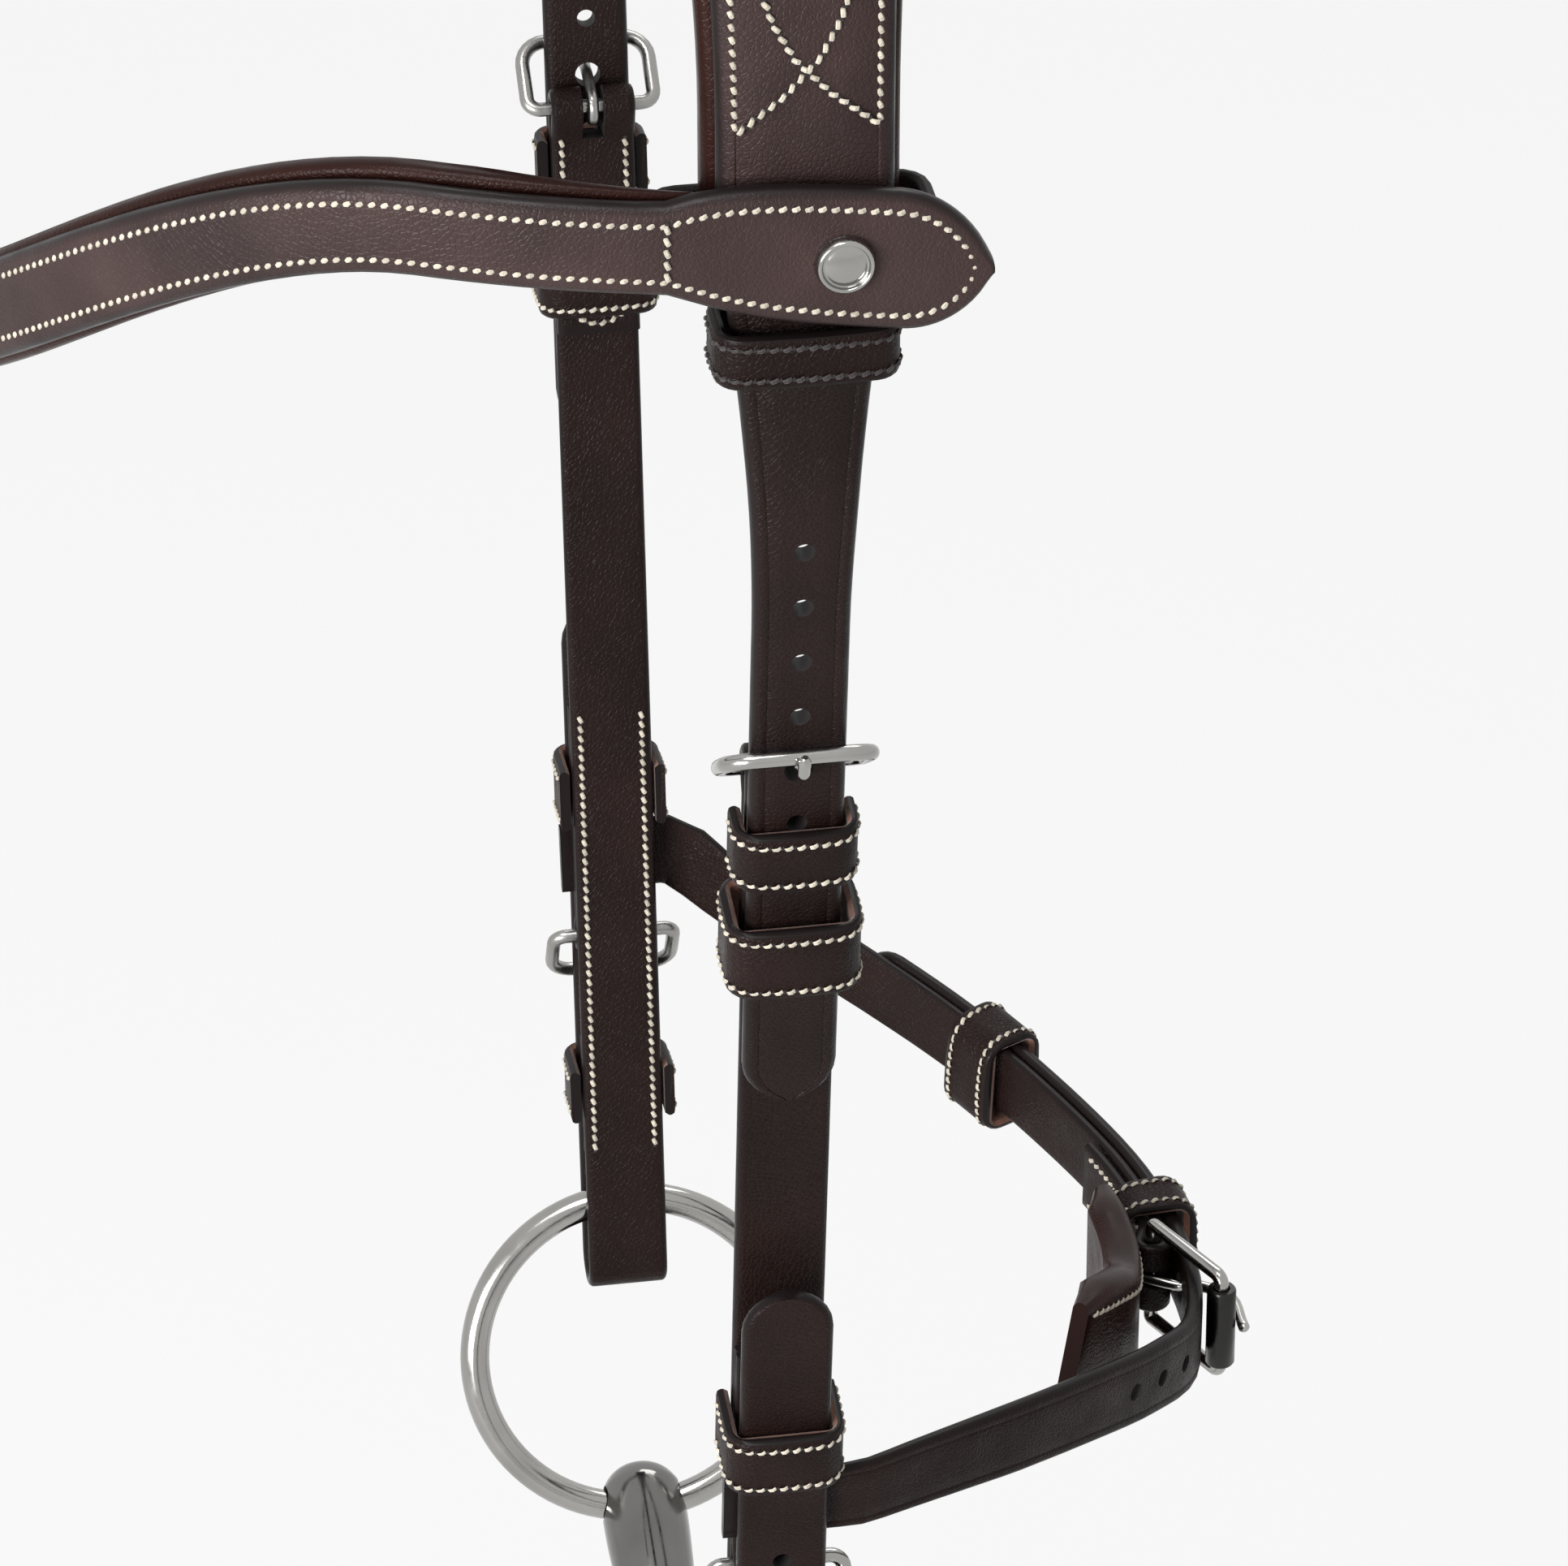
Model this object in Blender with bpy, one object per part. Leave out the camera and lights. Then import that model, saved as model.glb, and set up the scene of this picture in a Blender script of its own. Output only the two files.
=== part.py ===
# Horse bridle: headpiece, padded browband, two buckled cheekpieces, a jointed
# loose-ring snaffle and a rear jaw strap. Metres, +Z up. The horse's nose
# points along -Y and its near side is at +X. The origin is the middle of the
# seat under the headpiece pad, where the bridle hangs on the poll.
import math

import bpy
import bmesh
from mathutils import Matrix, Vector

# Fits
GAP = 0.0003                    # seated faces keep this gap
HALF_GAP = GAP / 2
OVERRUN = 0.002                 # how far a cutter passes a face

# Cheek line, measured down the strap from the browband crossing
CROWN_RISE = 0.130              # poll seat above the browband crossing
CHEEK_OUT = 0.1125              # cheek line from the centre plane at the browband
CHEEK_LEAN = math.radians(7.4)  # inward lean of the cheekpieces
BEND_START = 0.034
BEND_RADIUS = 0.090
ARCH_BASE = 0.022               # where the headpiece starts to arch, above the crossing
SEAT_HALF_LENGTH = 0.007        # flat seat under the poll

# Headpiece and its billets
HEAD_WIDTH = 0.0245
HEAD_THICK = 0.0040
HEAD_CROWN = 0.0007
CROWN_WIDTH = 0.0340            # headpiece over the poll
BILLET_WIDTH = 0.0140
BILLET_THICK = 0.0032
BILLET_FULL_AT = -0.006         # billet starts to narrow here
BILLET_NARROW_AT = 0.060
BILLET_END = 0.147
HOLE_RADIUS = 0.0015
PRONG_HOLE_RADIUS = 0.0021
HOLE_PITCH = 0.0098
PRONG_HOLE_AT = 0.0838
HOLES_ABOVE = 4
HOLES_BELOW = 1

# Headpiece pad
PAD_THICK = 0.0060
PAD_WIDTH = 0.0275
PAD_CROWN_WIDTH = 0.0440
PAD_ROUND = 0.0030
PAD_END_AT = 0.0035             # lower end of the pad, inside the browband loop

# Loop below the browband
LOOP_TOP_AT = 0.0077
LOOP_DEPTH = 0.0082
LOOP_THICK = 0.0018
LOOP_FIT = 0.0006

# Browband
BROW_CENTRE = 0.007             # band centre above the crossing
BROW_THICK = 0.0036
BROW_FACE = 0.0137
TONGUE_FACE = 0.0212
TONGUE_BACK = 0.0240            # tongue tip behind the cheek line
TONGUE_SHOULDER = 0.0100        # widest place of the tongue, behind the cheek line
TONGUE_NECK = 0.0200            # where the tongue has narrowed to the band
TONGUE_TIP_FACE = 0.0040
TONGUE_FALL_SHARE = 0.14        # the tongue slopes down towards its tip
BROW_STRAIGHT = 0.0160          # straight run in front of the cheek line
BROW_REACH = 0.1040             # from there to the front of the band
BROW_DIP = 0.0603
BROW_DIP_FROM = math.radians(20.0)
BROW_LIFT = 0.0022              # the band rises a little before it dips
BROW_LIFT_BY = math.radians(24.0)
BROW_PAD_THICK = 0.0038
BROW_PAD_FACE = 0.0178
BROW_PAD_START = 0.0235
SLEEVE_THICK = 0.0020
SLEEVE_FACE = 0.0120
SLEEVE_FIT = 0.0008
SLEEVE_BACK = 0.0165
SLEEVE_FRONT = 0.0190
STUD_RADIUS = 0.0041
STUD_HEIGHT = 0.0016
STUD_RIM = 0.0008
STUD_BACK = 0.0042              # stud centre behind the cheek line

# Cheekpiece
STRAP_WIDTH = 0.0140
STRAP_THICK = 0.0020
EDGE = 0.0005                   # bevelled strap edges
TURN_IN_END = 0.128
FOLD_CLOSE = 0.005              # length over which a turn-in closes behind its bar
FOLD_BOTTOM = 0.3130
RING_HANG = 0.0170              # ring bar above the bottom of the fold
LOOP_CLEAR = 0.0010
TIP_AT = 0.1825                 # end of the return billet
RETURN_THICK = 0.0024
SLOT_WIDTH = 0.0036
SLOT_REACH = 0.0065

# Upper buckle
UPPER_HEEL_AT = 0.0880
WIRE_RADIUS = 0.0012
BAR_FIT = 0.0002
FRAME_WIDTH = 0.0235
FRAME_LENGTH = 0.0125           # heel bar to front bar, middle to middle
FRAME_CORNER = 0.0042
UPPER_TILT = math.radians(47.0)
PRONG_RADIUS = 0.00095
PRONG_PAST = 0.0022

# Keepers on the cheekpieces
KEEPER_THICK = 0.0018
KEEPER_FIT = 0.0004
UPPER_KEEPER_AT = 0.0940
UPPER_KEEPER_DEPTH = 0.0105
RUNNER_AT = 0.1115
RUNNER_DEPTH = 0.0125
RUNNER_FIT = 0.0012
KEEPER_CORNER = 0.0009
BIT_KEEPER_AT = 0.2098
BIT_KEEPER_DEPTH = 0.0113
LOW_KEEPER_AT = 0.2680
LOW_KEEPER_DEPTH = 0.0100

# Bit-end buckle and its chape
BIT_HEEL_AT = 0.2435
CHAPE_CLOSE = 0.0040            # length over which the chape closes behind its bar
CHAPE_THICK = 0.0013
CHAPE_TOP_AT = 0.1990
CHAPE_WIDTH = 0.0138
BIT_FRAME_LENGTH = 0.0125
BIT_TILT = math.radians(36.0)
BIT_HOLE_AT = 0.2480
BIT_HOLES_ABOVE = 1
BIT_HOLES_BELOW = 1
TAB_TOP_AT = 0.2620
TAB_END_AT = 0.2850
TAB_THICK = 0.0020

# Bit
RING_RADIUS = 0.0284            # middle of the ring's bar
RING_BAR = 0.0026
RING_LEAN = math.radians(22.0)
CANNON_DROP = math.radians(19.8)  # slope of the mouthpiece arms
BUTT_RADIUS = 0.0075
BUTT_PAST = 0.0075
RING_HOLE = 0.0033
NECK_RADIUS = 0.0036
MID_RADIUS = 0.0060
EYE_RADIUS = 0.0067
EYE_BAR = 0.00175
EYE_SLACK = 0.0021

# Jaw strap
JAW_WIDTH = 0.0130
JAW_THICK = 0.0018
JAW_BILLET_THICK = 0.0026
JAW_TAB_THICK = 0.0019
JAW_AT = 0.2290
JAW_LOOP_LENGTH = 0.0780
JAW_SAG = 0.0220
JAW_TAB_FRONT = 0.0088
JAW_TAB_BACK = 0.0095
JAW_STOP = 0.0011
JAW_STOP_LENGTH = 0.0022
JAW_HEEL = 0.1470               # heel bar, along the strap from the far cheek
JAW_FRAME_LENGTH = 0.0190
JAW_FRAME_WIDTH = 0.0210
JAW_FRAME_CORNER = 0.0016
JAW_TILT = math.radians(23.0)
JAW_TURN_IN = 0.0300
JAW_BILLET_OVERLAP = 0.0960     # near strap's run past the heel bar, on the far strap
JAW_HOLE_PITCH = 0.0085
JAW_HOLES_AHEAD = 5
ROLLER_RADIUS = 0.0024
ROLLER_FIT = 0.0002
ROLLER_LENGTH = 0.0146
JAW_KEEPER_DEPTH = 0.0090
JAW_KEEPER_BACK = 0.0142        # keeper's near end before the heel bar
JAW_RUNNER_BACK = 0.0705
JAW_RUNNER_DEPTH = 0.0115
SAFE_BACK = 0.0110              # padded safe, before and past the heel bar
SAFE_PAST = 0.0500
SAFE_THICK = 0.0036
SAFE_FACE = 0.0260
# Side, rearward and downward shares of the jaw strap's route, far to near
JAW_ROUTE_SHARES = (
    (-1.000, 0.000, 0.00), (-1.000, 0.122, 0.00), (-0.992, 0.175, 0.10),
    (-0.925, 0.285, 0.34), (-0.745, 0.535, 0.66), (-0.490, 0.755, 0.84),
    (-0.105, 0.950, 0.92), (0.190, 1.000, 0.92), (0.410, 0.965, 0.84),
    (0.560, 0.850, 0.62), (0.710, 0.665, 0.36), (0.835, 0.470, 0.17),
    (0.935, 0.290, 0.05), (0.992, 0.175, 0.00), (1.000, 0.122, 0.00),
    (1.000, 0.000, 0.00),
)
ROUTE_STEPS = 4
STRAP_STEP = 0.0062             # spacing of the jaw strap's stations
BLEND_STRETCH = 0.035           # jaw strap turns from the cheek's plane to upright

# Facets
ARCH_STEPS = 9
BROW_STEPS = 18
ROUND_STEPS = 8
RING_STEPS = 40

LEATHER = (0.050, 0.027, 0.021)
PADDING = (0.040, 0.018, 0.014)
LINING = (0.160, 0.065, 0.038)
STEEL = (0.62, 0.62, 0.63)
ROLLER = (0.030, 0.030, 0.032)

SIDES = (("near", 1), ("far", -1))


def clear_scene():
    for old in list(bpy.data.objects):
        bpy.data.objects.remove(old, do_unlink=True)


def finish(name, colour, roughness, metallic):
    material = bpy.data.materials.new(name)
    material.use_nodes = True
    shader = material.node_tree.nodes["Principled BSDF"]
    shader.inputs["Base Color"].default_value = (*colour, 1.0)
    shader.inputs["Roughness"].default_value = roughness
    shader.inputs["Metallic"].default_value = metallic
    return material


def piece(name, verts, faces, look, pivot=None):
    """Make one closed object, with its origin on its joint's axis."""
    place = Vector(pivot) if pivot is not None else Vector()
    mesh = bpy.data.meshes.new(name)
    mesh.from_pydata([Vector(v) - place for v in verts], [], faces)
    work = bmesh.new()
    work.from_mesh(mesh)
    bmesh.ops.recalc_face_normals(work, faces=work.faces)
    work.to_mesh(mesh)
    work.free()
    mesh.shade_smooth()
    mesh.set_sharp_from_angle(angle=math.radians(35))
    item = bpy.data.objects.new(name, mesh)
    item.location = place
    mesh.materials.append(finish(name, *look))
    bpy.context.scene.collection.objects.link(item)
    return item


LEATHER_LOOK = (LEATHER, 0.45, 0.0)
PADDING_LOOK = (PADDING, 0.35, 0.0)
LINING_LOOK = (LINING, 0.70, 0.0)
STEEL_LOOK = (STEEL, 0.22, 1.0)
ROLLER_LOOK = (ROLLER, 0.30, 1.0)


def skin(rings, closed=False):
    """Join rings of points into a tube: capped, or closed on itself."""
    count = len(rings[0])
    verts = [point for ring in rings for point in ring]
    faces = []
    spans = len(rings) if closed else len(rings) - 1
    for row in range(spans):
        low = row * count
        high = (row + 1) % len(rings) * count
        for k in range(count):
            nxt = (k + 1) % count
            faces.append((low + k, low + nxt, high + nxt, high + k))
    if not closed:
        faces.append(tuple(range(count - 1, -1, -1)))
        faces.append(tuple(range((len(rings) - 1) * count, len(rings) * count)))
    return verts, faces


def strap_section(width, low, high, edge, crown=0.0):
    """Across and through points of a flat strap with bevelled edges."""
    half = width / 2
    points = [(-half + edge, low), (half - edge, low), (half, low + edge), (half, high - edge),
              (half - edge, high)]
    if crown:
        points.append((0.0, high + crown))
    points += [(-half + edge, high), (-half, high - edge), (-half, low + edge)]
    return points


def pad_section(width, low, high, bulge):
    """A pad: flat against its strap, rounded out at its edges and its inner face."""
    half = width / 2
    mid = (low + high) / 2
    return [(-half + bulge, low), (half - bulge, low), (half - bulge / 3, low + bulge / 3),
            (half, mid), (half - bulge / 3, high - bulge / 4), (half - bulge, high),
            (-half + bulge, high), (-half + bulge / 3, high - bulge / 4), (-half, mid),
            (-half + bulge / 3, low + bulge / 3)]


def sweep(stations, sections):
    """Rings of world points: each station is a place, an across and an outward axis."""
    rings = []
    for (place, across, outward), section in zip(stations, sections):
        rings.append([place + across * q + outward * n for q, n in section])
    return skin(rings)


def circle(steps, radius, start=0.0):
    return [(radius * math.cos(start + math.tau * k / steps),
             radius * math.sin(start + math.tau * k / steps)) for k in range(steps)]


def wire(points, radii, side_axis, closed=False, steps=ROUND_STEPS):
    """A round wire through points that lie in the plane square to side_axis."""
    rings = []
    last = len(points) - 1
    for k, point in enumerate(points):
        before = points[k - 1] if (k or closed) else points[0]
        after = points[(k + 1) % len(points)] if (k < last or closed) else points[last]
        along = (after - before).normalized()
        up = along.cross(side_axis).normalized()
        rings.append([point + side_axis * a + up * b for a, b in circle(steps, radii[k])])
    return skin(rings, closed)


def turned(profile, centre, axis, across, steps):
    """Revolve (along, radius) points round an axis; ends close on the axis."""
    other = axis.cross(across)
    rings = []
    for along, radius in profile:
        rings.append([centre + axis * along + across * a + other * b
                      for a, b in circle(steps, radius)])
    return skin(rings)


def cutter(name, verts, faces):
    item = piece(name, verts, faces, STEEL_LOOK)
    item.hide_render = True
    item.display_type = "WIRE"
    return item


def cut(item, tool, operation="DIFFERENCE"):
    change = item.modifiers.new(tool.name, "BOOLEAN")
    change.operation = operation
    change.solver = "EXACT"
    change.object = tool


def cylinder(start, end, radius, across, steps=10):
    axis = (end - start).normalized()
    other = axis.cross(across).normalized()
    across = other.cross(axis)
    ring = [across * a + other * b for a, b in circle(steps, radius)]
    return skin([[start + offset for offset in ring], [end + offset for offset in ring]])


def merged(shapes):
    verts = []
    faces = []
    for shape_verts, shape_faces in shapes:
        base = len(verts)
        verts += shape_verts
        faces += [tuple(base + k for k in face) for face in shape_faces]
    return verts, faces


# Routes

CROSSING_Z = -CROWN_RISE
APEX_Z = PAD_THICK + HALF_GAP


def cheek_frame(s):
    """Place, downward and outward directions at s along the near cheek line."""
    if s <= BEND_START:
        return Vector((CHEEK_OUT, 0, CROSSING_Z - s)), Vector((0, 0, -1)), Vector((1, 0, 0))
    turn = min((s - BEND_START) / BEND_RADIUS, CHEEK_LEAN)
    place = Vector((CHEEK_OUT - BEND_RADIUS * (1 - math.cos(turn)), 0,
                    CROSSING_Z - BEND_START - BEND_RADIUS * math.sin(turn)))
    down = Vector((-math.sin(turn), 0, -math.cos(turn)))
    straight = max(0.0, s - BEND_START - BEND_RADIUS * CHEEK_LEAN)
    return place + down * straight, down, Vector((math.cos(turn), 0, -math.sin(turn)))


def cheek_point(side, s, q, n):
    """World point at s down the cheek line, q behind it and n outside it."""
    place, down, outward = cheek_frame(s)
    point = place + outward * n + Vector((0, q, 0))
    point.x *= side
    return point


def cheek_axis(side, s):
    """Downward and outward directions of the cheek line on one side."""
    place, down, outward = cheek_frame(s)
    return Vector((side * down.x, 0, down.z)), Vector((side * outward.x, 0, outward.z))


def arch_stations():
    """Headpiece line above the arch base, near side to far side over the poll."""
    base = CROSSING_Z + ARCH_BASE
    rise = APEX_Z - base
    near = []
    for k in range(1, ARCH_STEPS):
        angle = math.pi / 2 * k / ARCH_STEPS
        place = Vector((CHEEK_OUT * math.cos(angle), 0, base + rise * math.sin(angle)))
        outward = Vector((rise * math.cos(angle), 0, CHEEK_OUT * math.sin(angle))).normalized()
        near.append((place, outward))
    near.append((Vector((SEAT_HALF_LENGTH, 0, APEX_Z)), Vector((0, 0, 1))))
    far = [(Vector((-p.x, 0, p.z)), Vector((-o.x, 0, o.z))) for p, o in reversed(near)]
    return near + far


def crown_share(place):
    """Nought at the arch base and one over the poll."""
    base = CROSSING_Z + ARCH_BASE
    share = max(0.0, (place.z - base) / (APEX_Z - base))
    return share * share * (3 - 2 * share)


def mixed(low, high, share):
    return low + (high - low) * share


def head_width(s):
    share = min(1.0, max(0.0, (s - BILLET_FULL_AT) / (BILLET_NARROW_AT - BILLET_FULL_AT)))
    share = math.sin(share * math.pi / 2)
    return mixed(HEAD_WIDTH, BILLET_WIDTH, share)


def tip_places(end, width, towards):
    """Places and widths that round off a strap end; towards is +1 or -1 along s."""
    half = width / 2
    return [(end - towards * half * (1 - math.sin(a)), 2 * half * math.cos(a))
            for a in (math.radians(0), math.radians(30), math.radians(55), math.radians(76))]


def headpiece():
    """One strap: raised over the poll, with a holed billet at each end."""
    across = Vector((0, 1, 0))
    ends = []
    for s in (-ARCH_BASE, BILLET_FULL_AT):
        ends.append((s, HEAD_WIDTH))
    for k in range(1, 8):
        s = mixed(BILLET_FULL_AT, BILLET_NARROW_AT, k / 7)
        ends.append((s, head_width(s)))
    ends += tip_places(BILLET_END, BILLET_WIDTH, 1)
    stations = []
    sections = []
    for s, width in reversed(ends):
        place, down, outward = cheek_frame(s)
        narrow = (width - BILLET_WIDTH) / (HEAD_WIDTH - BILLET_WIDTH)
        narrow = min(1.0, max(0.0, narrow))
        top = HALF_GAP + mixed(BILLET_THICK, HEAD_THICK, narrow)
        edge = min(EDGE, width / 4)
        stations.append((place, across, outward))
        sections.append(strap_section(width, HALF_GAP, top, edge, GAP + HEAD_CROWN * narrow))
    side_count = len(stations)
    top = HALF_GAP + HEAD_THICK
    for place, outward in arch_stations():
        width = mixed(HEAD_WIDTH, CROWN_WIDTH, crown_share(place))
        stations.append((place, across, outward))
        sections.append(strap_section(width, HALF_GAP, top, EDGE, GAP + HEAD_CROWN))
    for k in range(side_count - 1, -1, -1):
        place, across, outward = stations[k]
        stations.append((Vector((-place.x, 0, place.z)), across, Vector((-outward.x, 0, outward.z))))
        sections.append(sections[k])
    item = piece("headpiece", *sweep(stations, sections), LEATHER_LOOK)
    drills = []
    for side in (1, -1):
        for k in range(-HOLES_ABOVE, HOLES_BELOW + 1):
            s = PRONG_HOLE_AT + k * HOLE_PITCH
            radius = PRONG_HOLE_RADIUS if k == 0 else HOLE_RADIUS
            start = cheek_point(side, s, 0, -OVERRUN)
            end = cheek_point(side, s, 0, BILLET_THICK + OVERRUN)
            drills.append(cylinder(start, end, radius, across))
    cut(item, cutter("billet_drills", *merged(drills)))


def headpiece_pad():
    """Soft pad under the headpiece, flat where it rests on the poll."""
    across = Vector((0, 1, 0))
    stations = []
    sections = []
    low = -HALF_GAP - PAD_THICK
    ends = [(PAD_END_AT, 0.45), (PAD_END_AT - PAD_ROUND, 0.75), (-ARCH_BASE / 3, 0.8),
            (-ARCH_BASE, 0.9)]
    for s, share in ends:
        place, down, outward = cheek_frame(s)
        stations.append((place, across, outward))
        sections.append(pad_section(PAD_WIDTH * mixed(0.8, 1, share), low * share - HALF_GAP * (1 - share),
                                    -HALF_GAP, PAD_ROUND * share))
    count = len(stations)
    for place, outward in arch_stations():
        width = mixed(PAD_WIDTH, PAD_CROWN_WIDTH, crown_share(place))
        stations.append((place, across, outward))
        sections.append(pad_section(width, low, -HALF_GAP, PAD_ROUND))
    for k in range(count - 1, -1, -1):
        place, across, outward = stations[k]
        stations.append((Vector((-place.x, 0, place.z)), across, Vector((-outward.x, 0, outward.z))))
        sections.append(sections[k])
    piece("headpiece_pad", *sweep(stations, sections), PADDING_LOOK)


def loop_path(half, low, high, corner):
    """Rounded rectangle across a stack of straps, as (across, outward) points."""
    points = []
    spots = ((half - corner, low + corner, -90), (half - corner, high - corner, 0),
             (-half + corner, high - corner, 90), (-half + corner, low + corner, 180))
    for q, n, start in spots:
        for step in (0, 30, 60, 90):
            turn = math.radians(start + step)
            points.append((q + corner * math.cos(turn), n + corner * math.sin(turn)))
    return points


def keeper(name, place_at, top, depth, half, low, high, thick, look, pivot=None):
    """A leather loop round a stack; place_at maps (s, across, outward) to the world."""
    inner = loop_path(half, low, high, KEEPER_CORNER)
    outer = loop_path(half + thick, low - thick, high + thick, KEEPER_CORNER + thick)
    soft = thick / 3
    rings = []
    for (qi, ni), (qo, no) in zip(inner, outer):
        qm = mixed(qi, qo, 1 - 1 / 3)
        nm = mixed(ni, no, 1 - 1 / 3)
        rings.append([place_at(top, qi, ni), place_at(top, qm, nm), place_at(top + soft, qo, no),
                      place_at(top + depth - soft, qo, no), place_at(top + depth, qm, nm),
                      place_at(top + depth, qi, ni)])
    return piece(name, *skin(rings, True), look, pivot)


def head_loops():
    """Leather loop under the browband on each side of the headpiece."""
    for label, side in SIDES:
        def at(s, q, n, side=side):
            return cheek_point(side, s, q, n)
        keeper(f"headpiece_loop_{label}", at, LOOP_TOP_AT, LOOP_DEPTH,
               head_width(LOOP_TOP_AT) / 2 + LOOP_FIT,
               -LOOP_FIT - PAD_THICK / 2, HALF_GAP + HEAD_THICK + HEAD_CROWN + GAP + LOOP_FIT,
               LOOP_THICK, LEATHER_LOOK)


# Browband

BAND_INNER = HALF_GAP + HEAD_THICK + HEAD_CROWN + GAP + SLEEVE_FIT
BAND_OUTER = BAND_INNER + BROW_THICK
BAND_Z = CROSSING_Z + BROW_CENTRE


def brow_line(angle):
    """Reference point and axes on the near half of the band; angle 90 degrees is the front."""
    out = CHEEK_OUT + BAND_INNER
    share = max(0.0, (angle - BROW_DIP_FROM) / (math.pi / 2 - BROW_DIP_FROM))
    dip = BROW_DIP * share * share * (3 - 2 * share)
    lift = BROW_LIFT * math.sin(min(1.0, angle / BROW_LIFT_BY) * math.pi / 2)
    place = Vector((out * math.cos(angle), -BROW_STRAIGHT - BROW_REACH * math.sin(angle),
                    BAND_Z + lift - dip))
    slope = BROW_DIP * 6 * share * (1 - share) / (math.pi / 2 - BROW_DIP_FROM)
    along = Vector((-out * math.sin(angle), -BROW_REACH * math.cos(angle), -slope)).normalized()
    outward = Vector((BROW_REACH * math.cos(angle), -out * math.sin(angle), 0)).normalized()
    up = outward.cross(along).normalized()
    return place, -up if up.z < 0 else up, outward


def tongue_place(y, out):
    """A point of the straight run and the tongue, which slopes down to its tip."""
    return Vector((out, y, BAND_Z - TONGUE_FALL_SHARE * (y + BROW_STRAIGHT)))


def brow_stations():
    """Near half then far half of the curved band."""
    near = []
    for k in range(BROW_STEPS + 1):
        near.append(brow_line(math.pi / 2 * k / BROW_STEPS))
    far = [(Vector((-p.x, p.y, p.z)), Vector((-u.x, u.y, u.z)), Vector((-o.x, o.y, o.z)))
           for p, u, o in reversed(near[:-1])]
    return near + far


def tongue_face(y):
    """Height of the tongue at y, from its pointed tip to the band."""
    if y > TONGUE_SHOULDER:
        share = (TONGUE_BACK - y) / (TONGUE_BACK - TONGUE_SHOULDER)
        return mixed(TONGUE_TIP_FACE, TONGUE_FACE, math.sin(share * math.pi / 2))
    share = min(1.0, (TONGUE_SHOULDER - y) / (TONGUE_SHOULDER + TONGUE_NECK))
    return mixed(TONGUE_FACE, BROW_FACE, share * share * share)


def browband():
    """The band with a pointed tongue over each headpiece side."""
    thick = BROW_THICK
    tongue = []
    for share in (1.0, 0.93, 0.75, 0.4, 0.0):
        tongue.append(mixed(TONGUE_SHOULDER, TONGUE_BACK, share))
    for share in (0.35, 0.65, 0.85):
        tongue.append(mixed(TONGUE_SHOULDER, -BROW_STRAIGHT, share))
    up = Vector((0, 0, 1))
    stations = []
    sections = []
    for y in tongue:
        stations.append((tongue_place(y, CHEEK_OUT + BAND_INNER), up, Vector((1, 0, 0))))
        sections.append(strap_section(tongue_face(y), 0, thick, EDGE))
    count = len(stations)
    for station in brow_stations():
        stations.append(station)
        face = tongue_face(station[0].y)
        sections.append(strap_section(face, 0, thick, EDGE))
    for k in range(count - 1, -1, -1):
        place, across, outward = stations[k]
        stations.append((Vector((-place.x, place.y, place.z)), across, Vector((-1, 0, 0))))
        sections.append(sections[k])
    piece("browband", *sweep(stations, sections), LEATHER_LOOK)


def browband_pad():
    """Raised pad sewn behind the band, between the two headpiece sides."""
    rows = [row for row in brow_stations() if row[0].y < -BROW_PAD_START]
    last = len(rows) - 1
    back = -GAP - HALF_GAP
    stations = []
    sections = []
    for k, row in enumerate(rows):
        ease = min(1.0, 0.55 + 0.45 * min(k, last - k))
        stations.append(row)
        sections.append(pad_section(mixed(BROW_FACE, BROW_PAD_FACE, ease),
                                    back - BROW_PAD_THICK * ease, back, BROW_PAD_THICK * ease / 2))
    piece("browband_pad", *sweep(stations, sections), PADDING_LOOK)


def browband_sleeves():
    """Inner layer behind the headpiece that closes each end of the browband to a loop."""
    back = -HALF_GAP - PAD_THICK - SLEEVE_FIT
    for label, side in SIDES:
        rows = [(SLEEVE_BACK, BAND_INNER - GAP),
                (SLEEVE_BACK - SLEEVE_THICK * 0.1, (BAND_INNER + back) / 2),
                (SLEEVE_BACK - SLEEVE_THICK, back), (0.0, back),
                (-SLEEVE_FRONT + SLEEVE_THICK * 2, back), (-SLEEVE_FRONT + SLEEVE_THICK, back / 2),
                (-SLEEVE_FRONT, BAND_INNER - 2 * GAP)]
        rings = []
        for k, (y, n) in enumerate(rows):
            before = rows[max(0, k - 1)]
            after = rows[min(len(rows) - 1, k + 1)]
            along = Vector((after[0] - before[0], after[1] - before[1]))
            along.normalize()
            offset = Vector((-along.y, along.x)) * SLEEVE_THICK
            if k in (0, len(rows) - 1):
                offset = Vector((math.copysign(SLEEVE_THICK, y), 0))
            half = SLEEVE_FACE / 2
            quad = []
            for dy, dn, z in ((0, 0, -half), (offset.x, offset.y, -half), (offset.x, offset.y, half),
                              (0, 0, half)):
                quad.append(Vector((side * (CHEEK_OUT + n + dn), y + dy, BAND_Z + z)))
            rings.append(quad)
        piece(f"browband_sleeve_{label}", *skin(rings), LEATHER_LOOK)


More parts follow.
